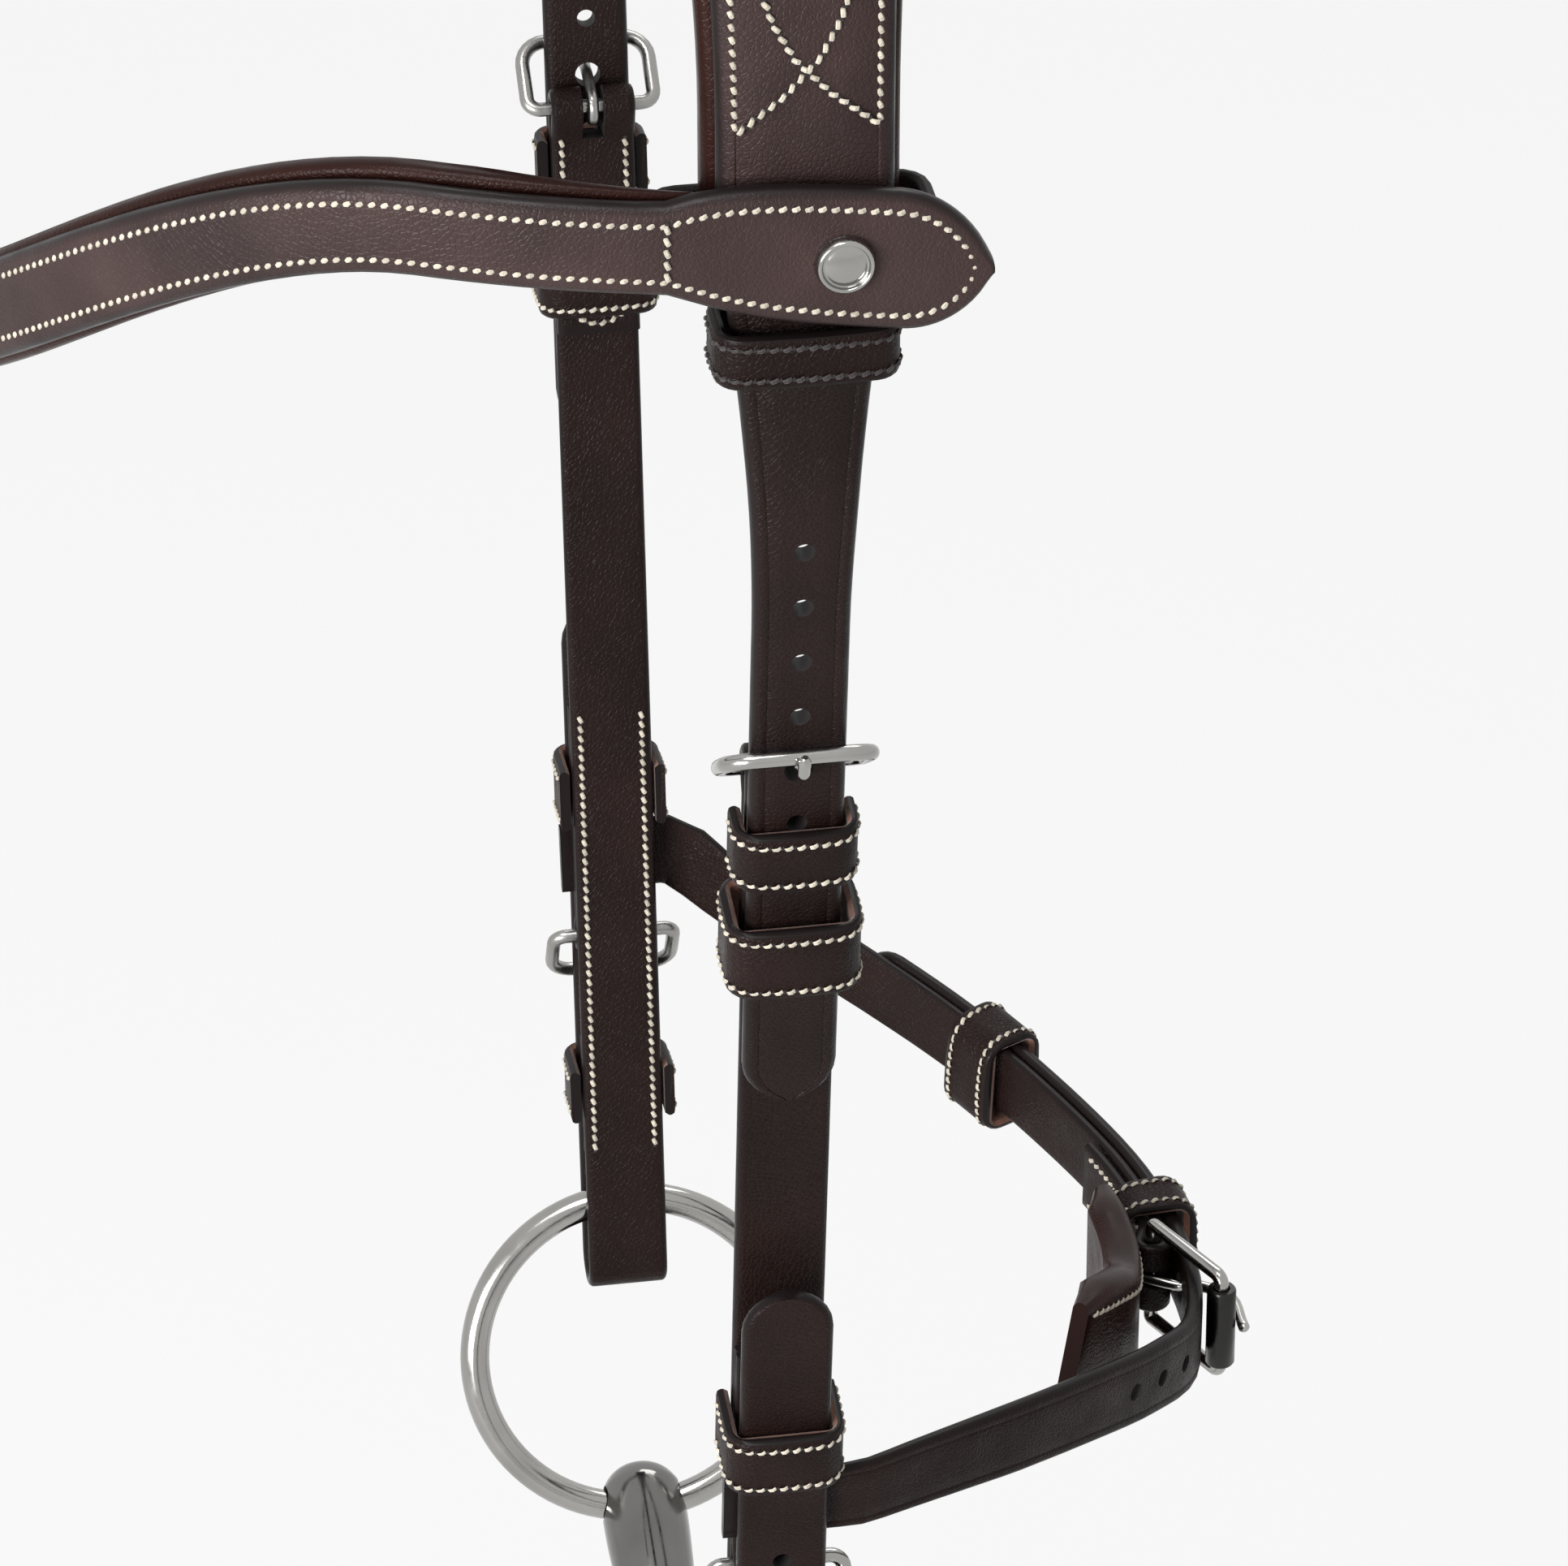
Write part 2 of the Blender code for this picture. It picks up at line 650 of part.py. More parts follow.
def studs():
    """Plain polished stud with a raised rim on each tongue."""
    profile = [(0, STUD_RADIUS * 0.55), (0, STUD_RADIUS), (STUD_HEIGHT * 0.6, STUD_RADIUS),
               (STUD_HEIGHT, STUD_RADIUS - STUD_RIM * 0.4), (STUD_HEIGHT, STUD_RADIUS - STUD_RIM),
               (STUD_HEIGHT * 0.6, STUD_RADIUS - STUD_RIM * 1.4), (STUD_HEIGHT * 0.95, STUD_RADIUS * 0.25)]
    for label, side in SIDES:
        centre = tongue_place(STUD_BACK, side * (CHEEK_OUT + BAND_OUTER + GAP))
        piece(f"browband_stud_{label}",
              *turned(profile, centre, Vector((side, 0, 0)), Vector((0, 1, 0)), 20), STEEL_LOOK)


# Cheekpieces

CHEEK_INNER = -HALF_GAP - STRAP_THICK           # inner face of the strap
HEEL_IN = CHEEK_INNER - WIRE_RADIUS - BAR_FIT   # depth of the upper heel bar
LOOP_GAP = 2 * RING_BAR + LOOP_CLEAR            # ring bar's room in the fold
RETURN_INNER = -HALF_GAP + LOOP_GAP             # inner face of the return billet
RETURN_OUTER = RETURN_INNER + RETURN_THICK
FOLD_RADIUS = LOOP_GAP / 2


def folded_line(heel_at, heel_depth, turn_radius, towards, close_depth, end_at):
    """Centre line of a turn-in: back layer end, round the bar, to the front layer."""
    points = [(end_at, close_depth)]
    near_bar = heel_at - towards * FOLD_CLOSE
    points.append((near_bar, close_depth))
    points.append((mixed(near_bar, heel_at, 0.5), mixed(close_depth, heel_depth - turn_radius, 0.6)))
    for step in (-90, -45, 0, 45, 90):
        turn = math.radians(step)
        points.append((heel_at + towards * turn_radius * math.cos(turn),
                       heel_depth + turn_radius * math.sin(turn)))
    return points


def strap_along(side, line, widths, thick, q=0.0):
    """Sweep a flat strap along (s, depth, unit thickness share) points of a cheek."""
    rings = []
    for k, (s, n) in enumerate(line):
        before = line[max(0, k - 1)]
        after = line[min(len(line) - 1, k + 1)]
        ds = after[0] - before[0]
        dn = after[1] - before[1]
        size = math.hypot(ds, dn)
        across_s = -dn / size * thick[k] / 2
        across_n = ds / size * thick[k] / 2
        half = widths[k] / 2
        edge = min(EDGE, half / 2)
        bevel = (thick[k] / 2 - edge) / (thick[k] / 2)
        ring = []
        for u, w in ((-half + edge, -1), (half - edge, -1), (half, -bevel), (half, bevel),
                     (half - edge, 1), (-half + edge, 1), (-half, bevel), (-half, -bevel)):
            ring.append(cheek_point(side, s + across_s * w, q + u, n + across_n * w))
        rings.append(ring)
    return skin(rings)


def cheek_line():
    """Centre line, widths and thicknesses of the whole cheekpiece strap."""
    front = (CHEEK_INNER - HALF_GAP) / 2
    turn = WIRE_RADIUS + BAR_FIT + STRAP_THICK / 2
    back = CHEEK_INNER - GAP - STRAP_THICK / 2
    line = folded_line(UPPER_HEEL_AT, HEEL_IN, turn, -1, back, TURN_IN_END)
    line.append((UPPER_HEEL_AT + FOLD_CLOSE, front))
    line.append((TURN_IN_END, front))
    line.append((CHAPE_TOP_AT, front))
    widths = [STRAP_WIDTH] * len(line)
    thick = [STRAP_THICK] * len(line)
    centre = FOLD_BOTTOM - RETURN_THICK - FOLD_RADIUS
    middle = (RETURN_INNER - HALF_GAP) / 2
    for step in (-90, -54, -18, 18, 54, 90):
        angle = math.radians(step)
        depth = mixed(STRAP_THICK, RETURN_THICK, (step + 90) / 180)
        reach = FOLD_RADIUS + depth / 2
        line.append((centre + reach * math.cos(angle), middle + reach * math.sin(angle)))
        widths.append(STRAP_WIDTH)
        thick.append(depth)
    outer = RETURN_INNER + RETURN_THICK / 2
    line.append((BIT_HEEL_AT, outer))
    widths.append(STRAP_WIDTH)
    thick.append(RETURN_THICK)
    for s, width in tip_places(TIP_AT, STRAP_WIDTH, -1):
        line.append((s, outer))
        widths.append(width)
        thick.append(RETURN_THICK)
    return line, widths, thick


def slot(side, heel_at, depth, towards, thick):
    """Crew hole: lets the prong turn on the bar through the fold."""
    half = SLOT_WIDTH / 2
    low = depth - WIRE_RADIUS - BAR_FIT - thick - OVERRUN
    high = depth + WIRE_RADIUS + BAR_FIT + thick + OVERRUN / 2
    start = heel_at + towards * (WIRE_RADIUS + BAR_FIT + thick + OVERRUN)
    end = heel_at - towards * (SLOT_REACH - WIRE_RADIUS)
    rings = []
    for s in (start, end):
        rings.append([cheek_point(side, s, q, n) for q, n in ((-half, low), (half, low), (half, high),
                                                             (-half, high))])
    return skin(rings)


def cheekpieces():
    """Strap with a turned-in top, a fold for the bit ring and a holed return billet."""
    line, widths, thick = cheek_line()
    across = Vector((0, 1, 0))
    for label, side in SIDES:
        item = piece(f"cheekpiece_{label}", *strap_along(side, line, widths, thick), LEATHER_LOOK)
        tools = [slot(side, UPPER_HEEL_AT, HEEL_IN, -1, STRAP_THICK)]
        for k in range(-BIT_HOLES_ABOVE, BIT_HOLES_BELOW + 1):
            s = BIT_HOLE_AT + k * HOLE_PITCH
            radius = PRONG_HOLE_RADIUS if k == 0 else HOLE_RADIUS
            start = cheek_point(side, s, 0, RETURN_INNER - OVERRUN / 2)
            end = cheek_point(side, s, 0, RETURN_OUTER + OVERRUN)
            tools.append(cylinder(start, end, radius, across))
        cut(item, cutter(f"cheek_cuts_{label}", *merged(tools)))


BIT_HEEL_IN = GAP + CHAPE_THICK + WIRE_RADIUS + BAR_FIT


def chapes():
    """Folded chape that holds the bit-end buckle, and the tab under the lower keeper."""
    turn = WIRE_RADIUS + BAR_FIT + CHAPE_THICK / 2
    low = HALF_GAP + CHAPE_THICK / 2
    near_bar = BIT_HEEL_AT - CHAPE_CLOSE
    line = [(CHAPE_TOP_AT, low), (near_bar, low)]
    for step in (-90, -45, 0, 45, 90):
        angle = math.radians(step)
        line.append((BIT_HEEL_AT + turn * math.cos(angle), BIT_HEEL_IN + turn * math.sin(angle)))
    top = HALF_GAP + CHAPE_THICK + GAP + CHAPE_THICK / 2
    line.append((mixed(BIT_HEEL_AT, near_bar, 0.55), mixed(BIT_HEEL_IN + turn, top, 0.45)))
    line.append((near_bar, top))
    line.append((CHAPE_TOP_AT, top))
    count = len(line)
    tab = HALF_GAP + TAB_THICK / 2
    for label, side in SIDES:
        item = piece(f"bit_chape_{label}",
                     *strap_along(side, line, [CHAPE_WIDTH] * count, [CHAPE_THICK] * count), LEATHER_LOOK)
        cut(item, cutter(f"chape_cut_{label}", *slot(side, BIT_HEEL_AT, BIT_HEEL_IN, 1, CHAPE_THICK)))
        piece(f"bit_tab_{label}",
              *strap_along(side, [(TAB_TOP_AT, tab), (TAB_END_AT, tab)], [CHAPE_WIDTH] * 2,
                           [TAB_THICK] * 2), LEATHER_LOOK)


# Buckles

def frame_path(length, width, corner):
    """Rounded frame outline as (along, across), heel bar at along = 0."""
    half = width / 2 - WIRE_RADIUS
    small = corner / 2
    spots = ((length - corner, half - corner, 0, corner), (small, half - small, 90, small),
             (small, -half + small, 180, small), (length - corner, -half + corner, 270, corner))
    points = []
    for along, across, start, radius in spots:
        for step in (0, 30, 60, 90):
            turn = math.radians(start + step)
            points.append((along + radius * math.cos(turn), across + radius * math.sin(turn)))
    return points


def frame(name, origin, along, across, length, width, corner):
    """Buckle frame of round wire, a little stouter at the front."""
    points = []
    radii = []
    for a, c in frame_path(length, width, corner):
        points.append(origin + along * a + across * c)
        radii.append(WIRE_RADIUS)
    axis = along.cross(across).normalized()
    return piece(name, *wire(points, radii, axis, True), STEEL_LOOK, origin)


def prong(name, origin, bar_turn, path, axis, to_world):
    """Tongue of wire curled round the heel bar, then along path to its tip."""
    reach = WIRE_RADIUS + BAR_FIT + PRONG_RADIUS
    points = []
    radii = []
    for step in bar_turn:
        turn = math.radians(step)
        points.append(to_world(reach * math.cos(turn), reach * math.sin(turn)))
        radii.append(PRONG_RADIUS)
    for along, out in path:
        points.append(to_world(along, out))
        radii.append(PRONG_RADIUS)
    radii[-1] = PRONG_RADIUS * 0.7
    return piece(name, *wire(points, radii, axis, steps=6), STEEL_LOOK, origin)


def cheek_buckle(kind, label, side, heel_at, depth, tilt, length, towards, hole_at, leather_top):
    """Frame and prong on a cheek; towards is the way from heel bar to front bar."""
    down, outward = cheek_axis(side, heel_at)
    origin = cheek_point(side, heel_at, 0, depth)
    across = Vector((0, 1, 0))
    along = (down * towards * math.cos(tilt) + outward * math.sin(tilt)).normalized()
    frame(f"{kind}_buckle_{label}", origin, along, across, length, FRAME_WIDTH, FRAME_CORNER)
    front_s = length * math.cos(tilt)
    front_n = length * math.sin(tilt)
    rest_n = front_n + WIRE_RADIUS + BAR_FIT + PRONG_RADIUS
    hole = abs(hole_at - heel_at)
    top = leather_top - depth

    def to_world(a, n):
        return origin + down * towards * a + outward * n

    path = [(mixed(0.0, hole, 0.85), mixed(0, top, 0.45)), (hole, mixed(0, top, 0.8)),
            (hole + PRONG_RADIUS / 2, top + PRONG_RADIUS),
            (mixed(hole, front_s, 0.55), mixed(top, rest_n, 0.85)), (front_s, rest_n),
            (front_s + PRONG_PAST, rest_n + PRONG_RADIUS / 2)]
    prong(f"{kind}_prong_{label}", origin, (180, 230, 280, 325), path, across, to_world)


def cheek_buckles():
    for label, side in SIDES:
        cheek_buckle("upper", label, side, UPPER_HEEL_AT, HEEL_IN, UPPER_TILT, FRAME_LENGTH, -1,
                     PRONG_HOLE_AT, HALF_GAP + BILLET_THICK)
        cheek_buckle("bit", label, side, BIT_HEEL_AT, BIT_HEEL_IN, BIT_TILT, BIT_FRAME_LENGTH, 1,
                     BIT_HOLE_AT, RETURN_OUTER)


def cheek_keepers():
    """Fixed and running keepers; the running one has its own slide."""
    half = STRAP_WIDTH / 2
    upper_low = CHEEK_INNER - GAP - STRAP_THICK
    upper_high = HALF_GAP + BILLET_THICK
    for label, side in SIDES:
        def at(s, q, n, side=side):
            return cheek_point(side, s, q, n)
        keeper(f"upper_keeper_{label}", at, UPPER_KEEPER_AT, UPPER_KEEPER_DEPTH, half + KEEPER_FIT,
               upper_low - KEEPER_FIT, upper_high + KEEPER_FIT, KEEPER_THICK, LEATHER_LOOK)
        keeper(f"upper_runner_{label}", at, RUNNER_AT, RUNNER_DEPTH, half + RUNNER_FIT,
               upper_low - RUNNER_FIT, upper_high + RUNNER_FIT, KEEPER_THICK, LINING_LOOK,
               cheek_point(side, RUNNER_AT + RUNNER_DEPTH / 2, 0, 0))
        keeper(f"bit_keeper_{label}", at, BIT_KEEPER_AT, BIT_KEEPER_DEPTH, half + KEEPER_FIT,
               CHEEK_INNER - KEEPER_FIT, RETURN_OUTER + KEEPER_FIT, KEEPER_THICK, LEATHER_LOOK)
        keeper(f"low_keeper_{label}", at, LOW_KEEPER_AT, LOW_KEEPER_DEPTH, half + KEEPER_FIT,
               CHEEK_INNER - KEEPER_FIT, RETURN_OUTER + KEEPER_FIT, KEEPER_THICK, LEATHER_LOOK)


# Bit

HANG_AT = FOLD_BOTTOM - RING_HANG
HANG_DEPTH = (RETURN_INNER - HALF_GAP) / 2


def bit_places(side):
    """Top of the ring's bar, ring centre, bottom of the bar and the ring's down axis."""
    top = cheek_point(side, HANG_AT, 0, HANG_DEPTH)
    down = Vector((-side * math.sin(RING_LEAN), 0, -math.cos(RING_LEAN)))
    return top, top + down * RING_RADIUS, top + down * 2 * RING_RADIUS, down


def ring_shape(centre, down, major, minor, steps, round_steps):
    """Closed ring in the plane of +Y and down."""
    across = Vector((0, 1, 0))
    points = []
    for a, b in circle(steps, major):
        points.append(centre + across * a + down * b)
    return wire(points, [minor] * steps, down.cross(across).normalized(), True, round_steps)


# Ring bar to the centre joint, where the two arms meet
CANNON_LENGTH = bit_places(1)[2].x / math.cos(CANNON_DROP)


def cannon_axis(side):
    """Direction from the ring's bar to the centre joint."""
    return Vector((-side * math.cos(CANNON_DROP), 0, -math.sin(CANNON_DROP)))


def bit():
    """Loose rings and two cannons joined by linked eyes."""
    across = Vector((0, 1, 0))
    for label, side in SIDES:
        top, centre, low, down = bit_places(side)
        piece(f"bit_ring_{label}", *ring_shape(centre, down, RING_RADIUS, RING_BAR, RING_STEPS, 10),
              STEEL_LOOK, top)
        axis = cannon_axis(side)
        slack = EYE_RADIUS - EYE_BAR - EYE_SLACK / 2
        eye = CANNON_LENGTH - slack
        profile = [(-BUTT_PAST, BUTT_RADIUS * 0.25), (-BUTT_PAST * 0.93, BUTT_RADIUS * 0.55),
                   (-BUTT_PAST * 0.65, BUTT_RADIUS * 0.86), (-BUTT_PAST * 0.1, BUTT_RADIUS),
                   (BUTT_PAST * 1.3, BUTT_RADIUS * 0.99), (CANNON_LENGTH * 0.45, MID_RADIUS),
                   (CANNON_LENGTH * 0.7, mixed(NECK_RADIUS, MID_RADIUS, 0.45)),
                   (eye - EYE_RADIUS - EYE_BAR, NECK_RADIUS),
                   (eye - EYE_RADIUS + EYE_BAR * 0.2, EYE_BAR * 1.15)]
        body = piece(f"bit_cannon_{label}", *turned(profile, low, axis, across, 16), STEEL_LOOK, low)
        normal = across if side < 0 else axis.cross(across)
        flat = axis.cross(normal)
        centre_eye = low + axis * eye
        points = [centre_eye + axis * a + flat * b for a, b in circle(18, EYE_RADIUS)]
        cut(body, cutter(f"eye_{label}", *wire(points, [EYE_BAR] * 18, normal, True)), "UNION")
        cut(body, cutter(f"ring_hole_{label}",
                         *ring_shape(centre, down, RING_RADIUS, RING_HOLE, RING_STEPS, 10)))


# Jaw strap

def jaw_route():
    """Evenly divided smooth line through the route's places, far cheek to near."""
    near = cheek_point(1, JAW_AT, 0, (RETURN_INNER + HALF_GAP + 2 * CHAPE_THICK + GAP) / 2)
    knots = []
    for side, back, drop in JAW_ROUTE_SHARES:
        knots.append(Vector((near.x * side, JAW_LOOP_LENGTH * back, near.z - JAW_SAG * drop)))
    points = []
    for k in range(len(knots) - 1):
        before = knots[max(0, k - 1)]
        after = knots[min(len(knots) - 1, k + 2)]
        start = knots[k]
        end = knots[k + 1]
        for step in range(ROUTE_STEPS):
            t = step / ROUTE_STEPS
            m0 = (end - before) / 2 if k else end - start
            m1 = (after - start) / 2 if k < len(knots) - 2 else end - start
            points.append(start * (2 * t ** 3 - 3 * t ** 2 + 1) + m0 * (t ** 3 - 2 * t ** 2 + t)
                          + end * (3 * t ** 2 - 2 * t ** 3) + m1 * (t ** 3 - t ** 2))
    points.append(knots[-1])
    return points


JAW_POINTS = jaw_route()
JAW_LENGTHS = [0.0]
for before, after in zip(JAW_POINTS, JAW_POINTS[1:]):
    JAW_LENGTHS.append(JAW_LENGTHS[-1] + (after - before).length)
JAW_TOTAL = JAW_LENGTHS[-1]


def jaw_frame(w):
    """Place, along, downward and outward axes at w along the jaw strap."""
    inside = min(max(w, 0.0), JAW_TOTAL)
    k = 0
    while k < len(JAW_LENGTHS) - 2 and JAW_LENGTHS[k + 1] < inside:
        k += 1
    share = (inside - JAW_LENGTHS[k]) / (JAW_LENGTHS[k + 1] - JAW_LENGTHS[k])
    place = JAW_POINTS[k].lerp(JAW_POINTS[k + 1], share)

    def tangent(j):
        low = JAW_POINTS[max(0, j - 1)]
        high = JAW_POINTS[min(len(JAW_POINTS) - 1, j + 1)]
        return (high - low).normalized()

    along = tangent(k).lerp(tangent(k + 1), share).normalized()
    place = place + along * (w - inside)
    edge = min(inside, JAW_TOTAL - inside)
    blend = min(1.0, max(0.0, (edge - JAW_TAB_BACK) / BLEND_STRETCH))
    side = -1 if inside < JAW_TOTAL / 2 else 1
    lean = cheek_axis(side, JAW_AT)[0]
    down = lean.lerp(Vector((0, 0, -1)), blend)
    down = (down - along * down.dot(along)).normalized()
    outward = down.cross(along) * -1
    centre = Vector((0, JAW_LOOP_LENGTH / 3, place.z))
    if outward.dot(place - centre) < 0:
        outward = -outward
    return place, along, down, outward


def jaw_point(w, q, n):
    place, along, down, outward = jaw_frame(w)
    return place + down * q + outward * n


def jaw_strap(line, widths, thick):
    """Sweep a flat strap along (w, depth) points of the jaw route."""
    rings = []
    for k, (w, n) in enumerate(line):
        before = line[max(0, k - 1)]
        after = line[min(len(line) - 1, k + 1)]
        dw = after[0] - before[0]
        dn = after[1] - before[1]
        size = math.hypot(dw, dn)
        half = widths[k] / 2
        edge = min(EDGE, half / 2)
        bevel = 1 - edge / (thick[k] / 2)
        place, along, down, outward = jaw_frame(w)
        push_w = along * (-dn / size * thick[k] / 2)
        push_n = outward * (dw / size * thick[k] / 2)
        ring = []
        for u, t in ((-half + edge, -1), (half - edge, -1), (half, -bevel), (half, bevel),
                     (half - edge, 1), (-half + edge, 1), (-half, bevel), (-half, -bevel)):
            ring.append(place + outward * n + down * u + (push_w + push_n) * t)
        rings.append(ring)
    return skin(rings)


def spread(start, end, step):
    """Places from start to end, about step apart."""
    count = max(1, round(abs(end - start) / step))
    return [mixed(start, end, k / count) for k in range(count + 1)]


JAW_BILLET_TIP = JAW_HEEL - JAW_BILLET_OVERLAP
JAW_KEEPER_AT = JAW_HEEL - JAW_KEEPER_BACK
JAW_RUNNER_AT = JAW_HEEL - JAW_RUNNER_BACK
JAW_HEEL_IN = -HALF_GAP - JAW_THICK - WIRE_RADIUS - BAR_FIT


def jaw_ends():
    """Centre line of the thin end that sits between a cheek's layers, with its stop."""
    thin = JAW_TAB_THICK
    stop = thin + JAW_STOP
    return [(-JAW_TAB_FRONT - JAW_STOP_LENGTH, 0, stop), (-JAW_TAB_FRONT - JAW_STOP_LENGTH / 3, 0, stop),
            (-JAW_TAB_FRONT, 0, thin), (0, 0, thin), (JAW_TAB_BACK, 0, thin)]


def far_jaw_strap():
    """Far strap: end between the far cheek's layers, turn-in round the buckle's heel bar."""
    line = []
    widths = []
    thick = []
    for w, n, t in jaw_ends():
        line.append((w, n))
        thick.append(t)
    front = -HALF_GAP - JAW_THICK / 2
    start = JAW_TAB_BACK + STRAP_STEP
    for w in spread(start, JAW_HEEL - FOLD_CLOSE / 2, STRAP_STEP):
        line.append((w, mixed(0, front, min(1.0, (w - JAW_TAB_BACK) / BLEND_STRETCH))))
        thick.append(JAW_THICK)
    turn = WIRE_RADIUS + BAR_FIT + JAW_THICK / 2
    for step in (90, 45, 0, -45, -90):
        angle = math.radians(step)
        line.append((JAW_HEEL + turn * math.cos(angle), JAW_HEEL_IN + turn * math.sin(angle)))
        thick.append(JAW_THICK)
    back = front - JAW_THICK - GAP
    line.append((JAW_HEEL - FOLD_CLOSE / 2, mixed(JAW_HEEL_IN - turn, back, 0.45)))
    line.append((JAW_HEEL - FOLD_CLOSE, back - GAP))
    thick += [JAW_THICK, JAW_THICK]
    for w in spread(JAW_HEEL - FOLD_CLOSE, JAW_HEEL - JAW_TURN_IN, STRAP_STEP)[1:]:
        line.append((w, back - GAP))
        thick.append(JAW_THICK)
    widths = [JAW_WIDTH] * len(line)
    item = piece("jaw_strap_far", *jaw_strap(line, widths, thick), LEATHER_LOOK)
    half = SLOT_WIDTH / 2
    low = JAW_HEEL_IN - WIRE_RADIUS - BAR_FIT - JAW_THICK - OVERRUN
    rings = []
    for w in (JAW_HEEL + WIRE_RADIUS + BAR_FIT + JAW_THICK + OVERRUN, JAW_HEEL - SLOT_REACH + WIRE_RADIUS):
        rings.append([jaw_point(w, q, n) for q, n in ((-half, low), (half, low), (half, OVERRUN),
                                                     (-half, OVERRUN))])
    cut(item, cutter("jaw_slot", *skin(rings)))


JAW_PRONG_AT = JAW_HEEL + JAW_FRAME_LENGTH * 0.30


def near_jaw_strap():
    """Near strap: from the near cheek, through the buckle, to a rounded tip outside."""
    line = []
    thick = []
    widths = []
    for w, n, t in jaw_ends():
        line.append((JAW_TOTAL - w, n))
        thick.append(t)
        widths.append(JAW_WIDTH)
    outer = HALF_GAP + JAW_BILLET_THICK / 2
    begin = JAW_TOTAL - JAW_TAB_BACK
    for w in spread(begin - STRAP_STEP, JAW_BILLET_TIP + JAW_WIDTH, STRAP_STEP):
        share = min(1.0, (begin - w) / BLEND_STRETCH)
        line.append((w, mixed(0, outer, share)))
        thick.append(mixed(JAW_TAB_THICK, JAW_BILLET_THICK, share))
        widths.append(JAW_WIDTH)
    for w, width in tip_places(JAW_BILLET_TIP, JAW_WIDTH, -1):
        line.append((w, outer))
        thick.append(JAW_BILLET_THICK)
        widths.append(width)
    item = piece("jaw_strap_near", *jaw_strap(line, widths, thick), LEATHER_LOOK)
    drills = []
    for k in range(-1, JAW_HOLES_AHEAD + 1):
        w = JAW_PRONG_AT + k * JAW_HOLE_PITCH
        radius = PRONG_HOLE_RADIUS if k == 0 else HOLE_RADIUS
        place, along, down, outward = jaw_frame(w)
        drills.append(cylinder(place - outward * OVERRUN / 2,
                               place + outward * (JAW_BILLET_THICK + OVERRUN), radius, down))
    cut(item, cutter("jaw_drills", *merged(drills)))


def jaw_buckle():
    """Roller buckle where the far strap turns in."""
    place, along, down, outward = jaw_frame(JAW_HEEL)
    origin = place + outward * JAW_HEEL_IN
    reach = (along * math.cos(JAW_TILT) + outward * math.sin(JAW_TILT)).normalized()
    frame("jaw_buckle", origin, reach, down, JAW_FRAME_LENGTH, JAW_FRAME_WIDTH, JAW_FRAME_CORNER)
    front = origin + reach * JAW_FRAME_LENGTH
    half = ROLLER_LENGTH / 2
    rings = []
    bore = WIRE_RADIUS + ROLLER_FIT
    for a, radius in ((-half, bore), (-half, ROLLER_RADIUS), (half, ROLLER_RADIUS), (half, bore)):
        rings.append([front + down * a + along * x + outward * y for x, y in circle(14, radius)])
    piece("jaw_roller", *skin(rings, True), ROLLER_LOOK, front)
    top = HALF_GAP + JAW_BILLET_THICK - JAW_HEEL_IN
    rest = JAW_FRAME_LENGTH * math.sin(JAW_TILT) + ROLLER_RADIUS + BAR_FIT + PRONG_RADIUS
    front_a = JAW_FRAME_LENGTH * math.cos(JAW_TILT)
    hole = JAW_PRONG_AT - JAW_HEEL

    def to_world(a, n):
        return origin + along * a + outward * n

    path = [(mixed(0.0, hole, 0.85), mixed(0, top, 0.45)), (hole, mixed(0, top, 0.8)),
            (hole + PRONG_RADIUS / 2, top + PRONG_RADIUS), (mixed(hole, front_a, 0.4), rest),
            (front_a, rest), (front_a + PRONG_PAST, rest)]
    prong("jaw_prong", origin, (180, 230, 280, 325), path, down, to_world)


JAW_STACK_INNER = -HALF_GAP - 2 * JAW_THICK - 3 * GAP


def jaw_keepers():
    """Fixed keeper beside the buckle and a running one that hangs on the strap's edge."""
    half = JAW_WIDTH / 2
    high = HALF_GAP + JAW_BILLET_THICK

    def hung(w, q, n):
        return jaw_point(w, q + RUNNER_FIT - GAP, n)

    keeper("jaw_keeper", jaw_point, JAW_KEEPER_AT, JAW_KEEPER_DEPTH, half + 2 * KEEPER_FIT,
           JAW_STACK_INNER - 2 * KEEPER_FIT, high + 2 * KEEPER_FIT, KEEPER_THICK, LEATHER_LOOK)
    keeper("jaw_runner", hung, JAW_RUNNER_AT, JAW_RUNNER_DEPTH, half + RUNNER_FIT,
           -HALF_GAP - JAW_THICK - RUNNER_FIT, high + RUNNER_FIT, KEEPER_THICK, LINING_LOOK,
           jaw_point(JAW_RUNNER_AT + JAW_RUNNER_DEPTH / 2, 0, 0))


def jaw_safe():
    """Padded flap behind the jaw buckle, on the horse's side."""
    top = JAW_STACK_INNER - 2 * KEEPER_FIT - KEEPER_THICK - GAP
    stations = []
    sections = []
    places = spread(JAW_HEEL - SAFE_BACK, JAW_HEEL + SAFE_PAST, STRAP_STEP)
    last = len(places) - 1
    for k, w in enumerate(places):
        place, along, down, outward = jaw_frame(w)
        ease = min(1.0, 0.5 + 0.5 * min(k, last - k))
        stations.append((place, down, outward))
        sections.append(pad_section(SAFE_FACE * mixed(0.8, 1, ease), top - SAFE_THICK * ease, top,
                                    SAFE_THICK * ease / 2))
    piece("jaw_safe", *sweep(stations, sections), PADDING_LOOK)


clear_scene()
headpiece()
headpiece_pad()
head_loops()
browband()
browband_pad()
browband_sleeves()
studs()
cheekpieces()
chapes()
cheek_buckles()
cheek_keepers()
bit()
far_jaw_strap()
near_jaw_strap()
jaw_buckle()
jaw_keepers()
jaw_safe()
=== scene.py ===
"""The looks of a leather horse bridle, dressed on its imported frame. Metres, +Z up."""

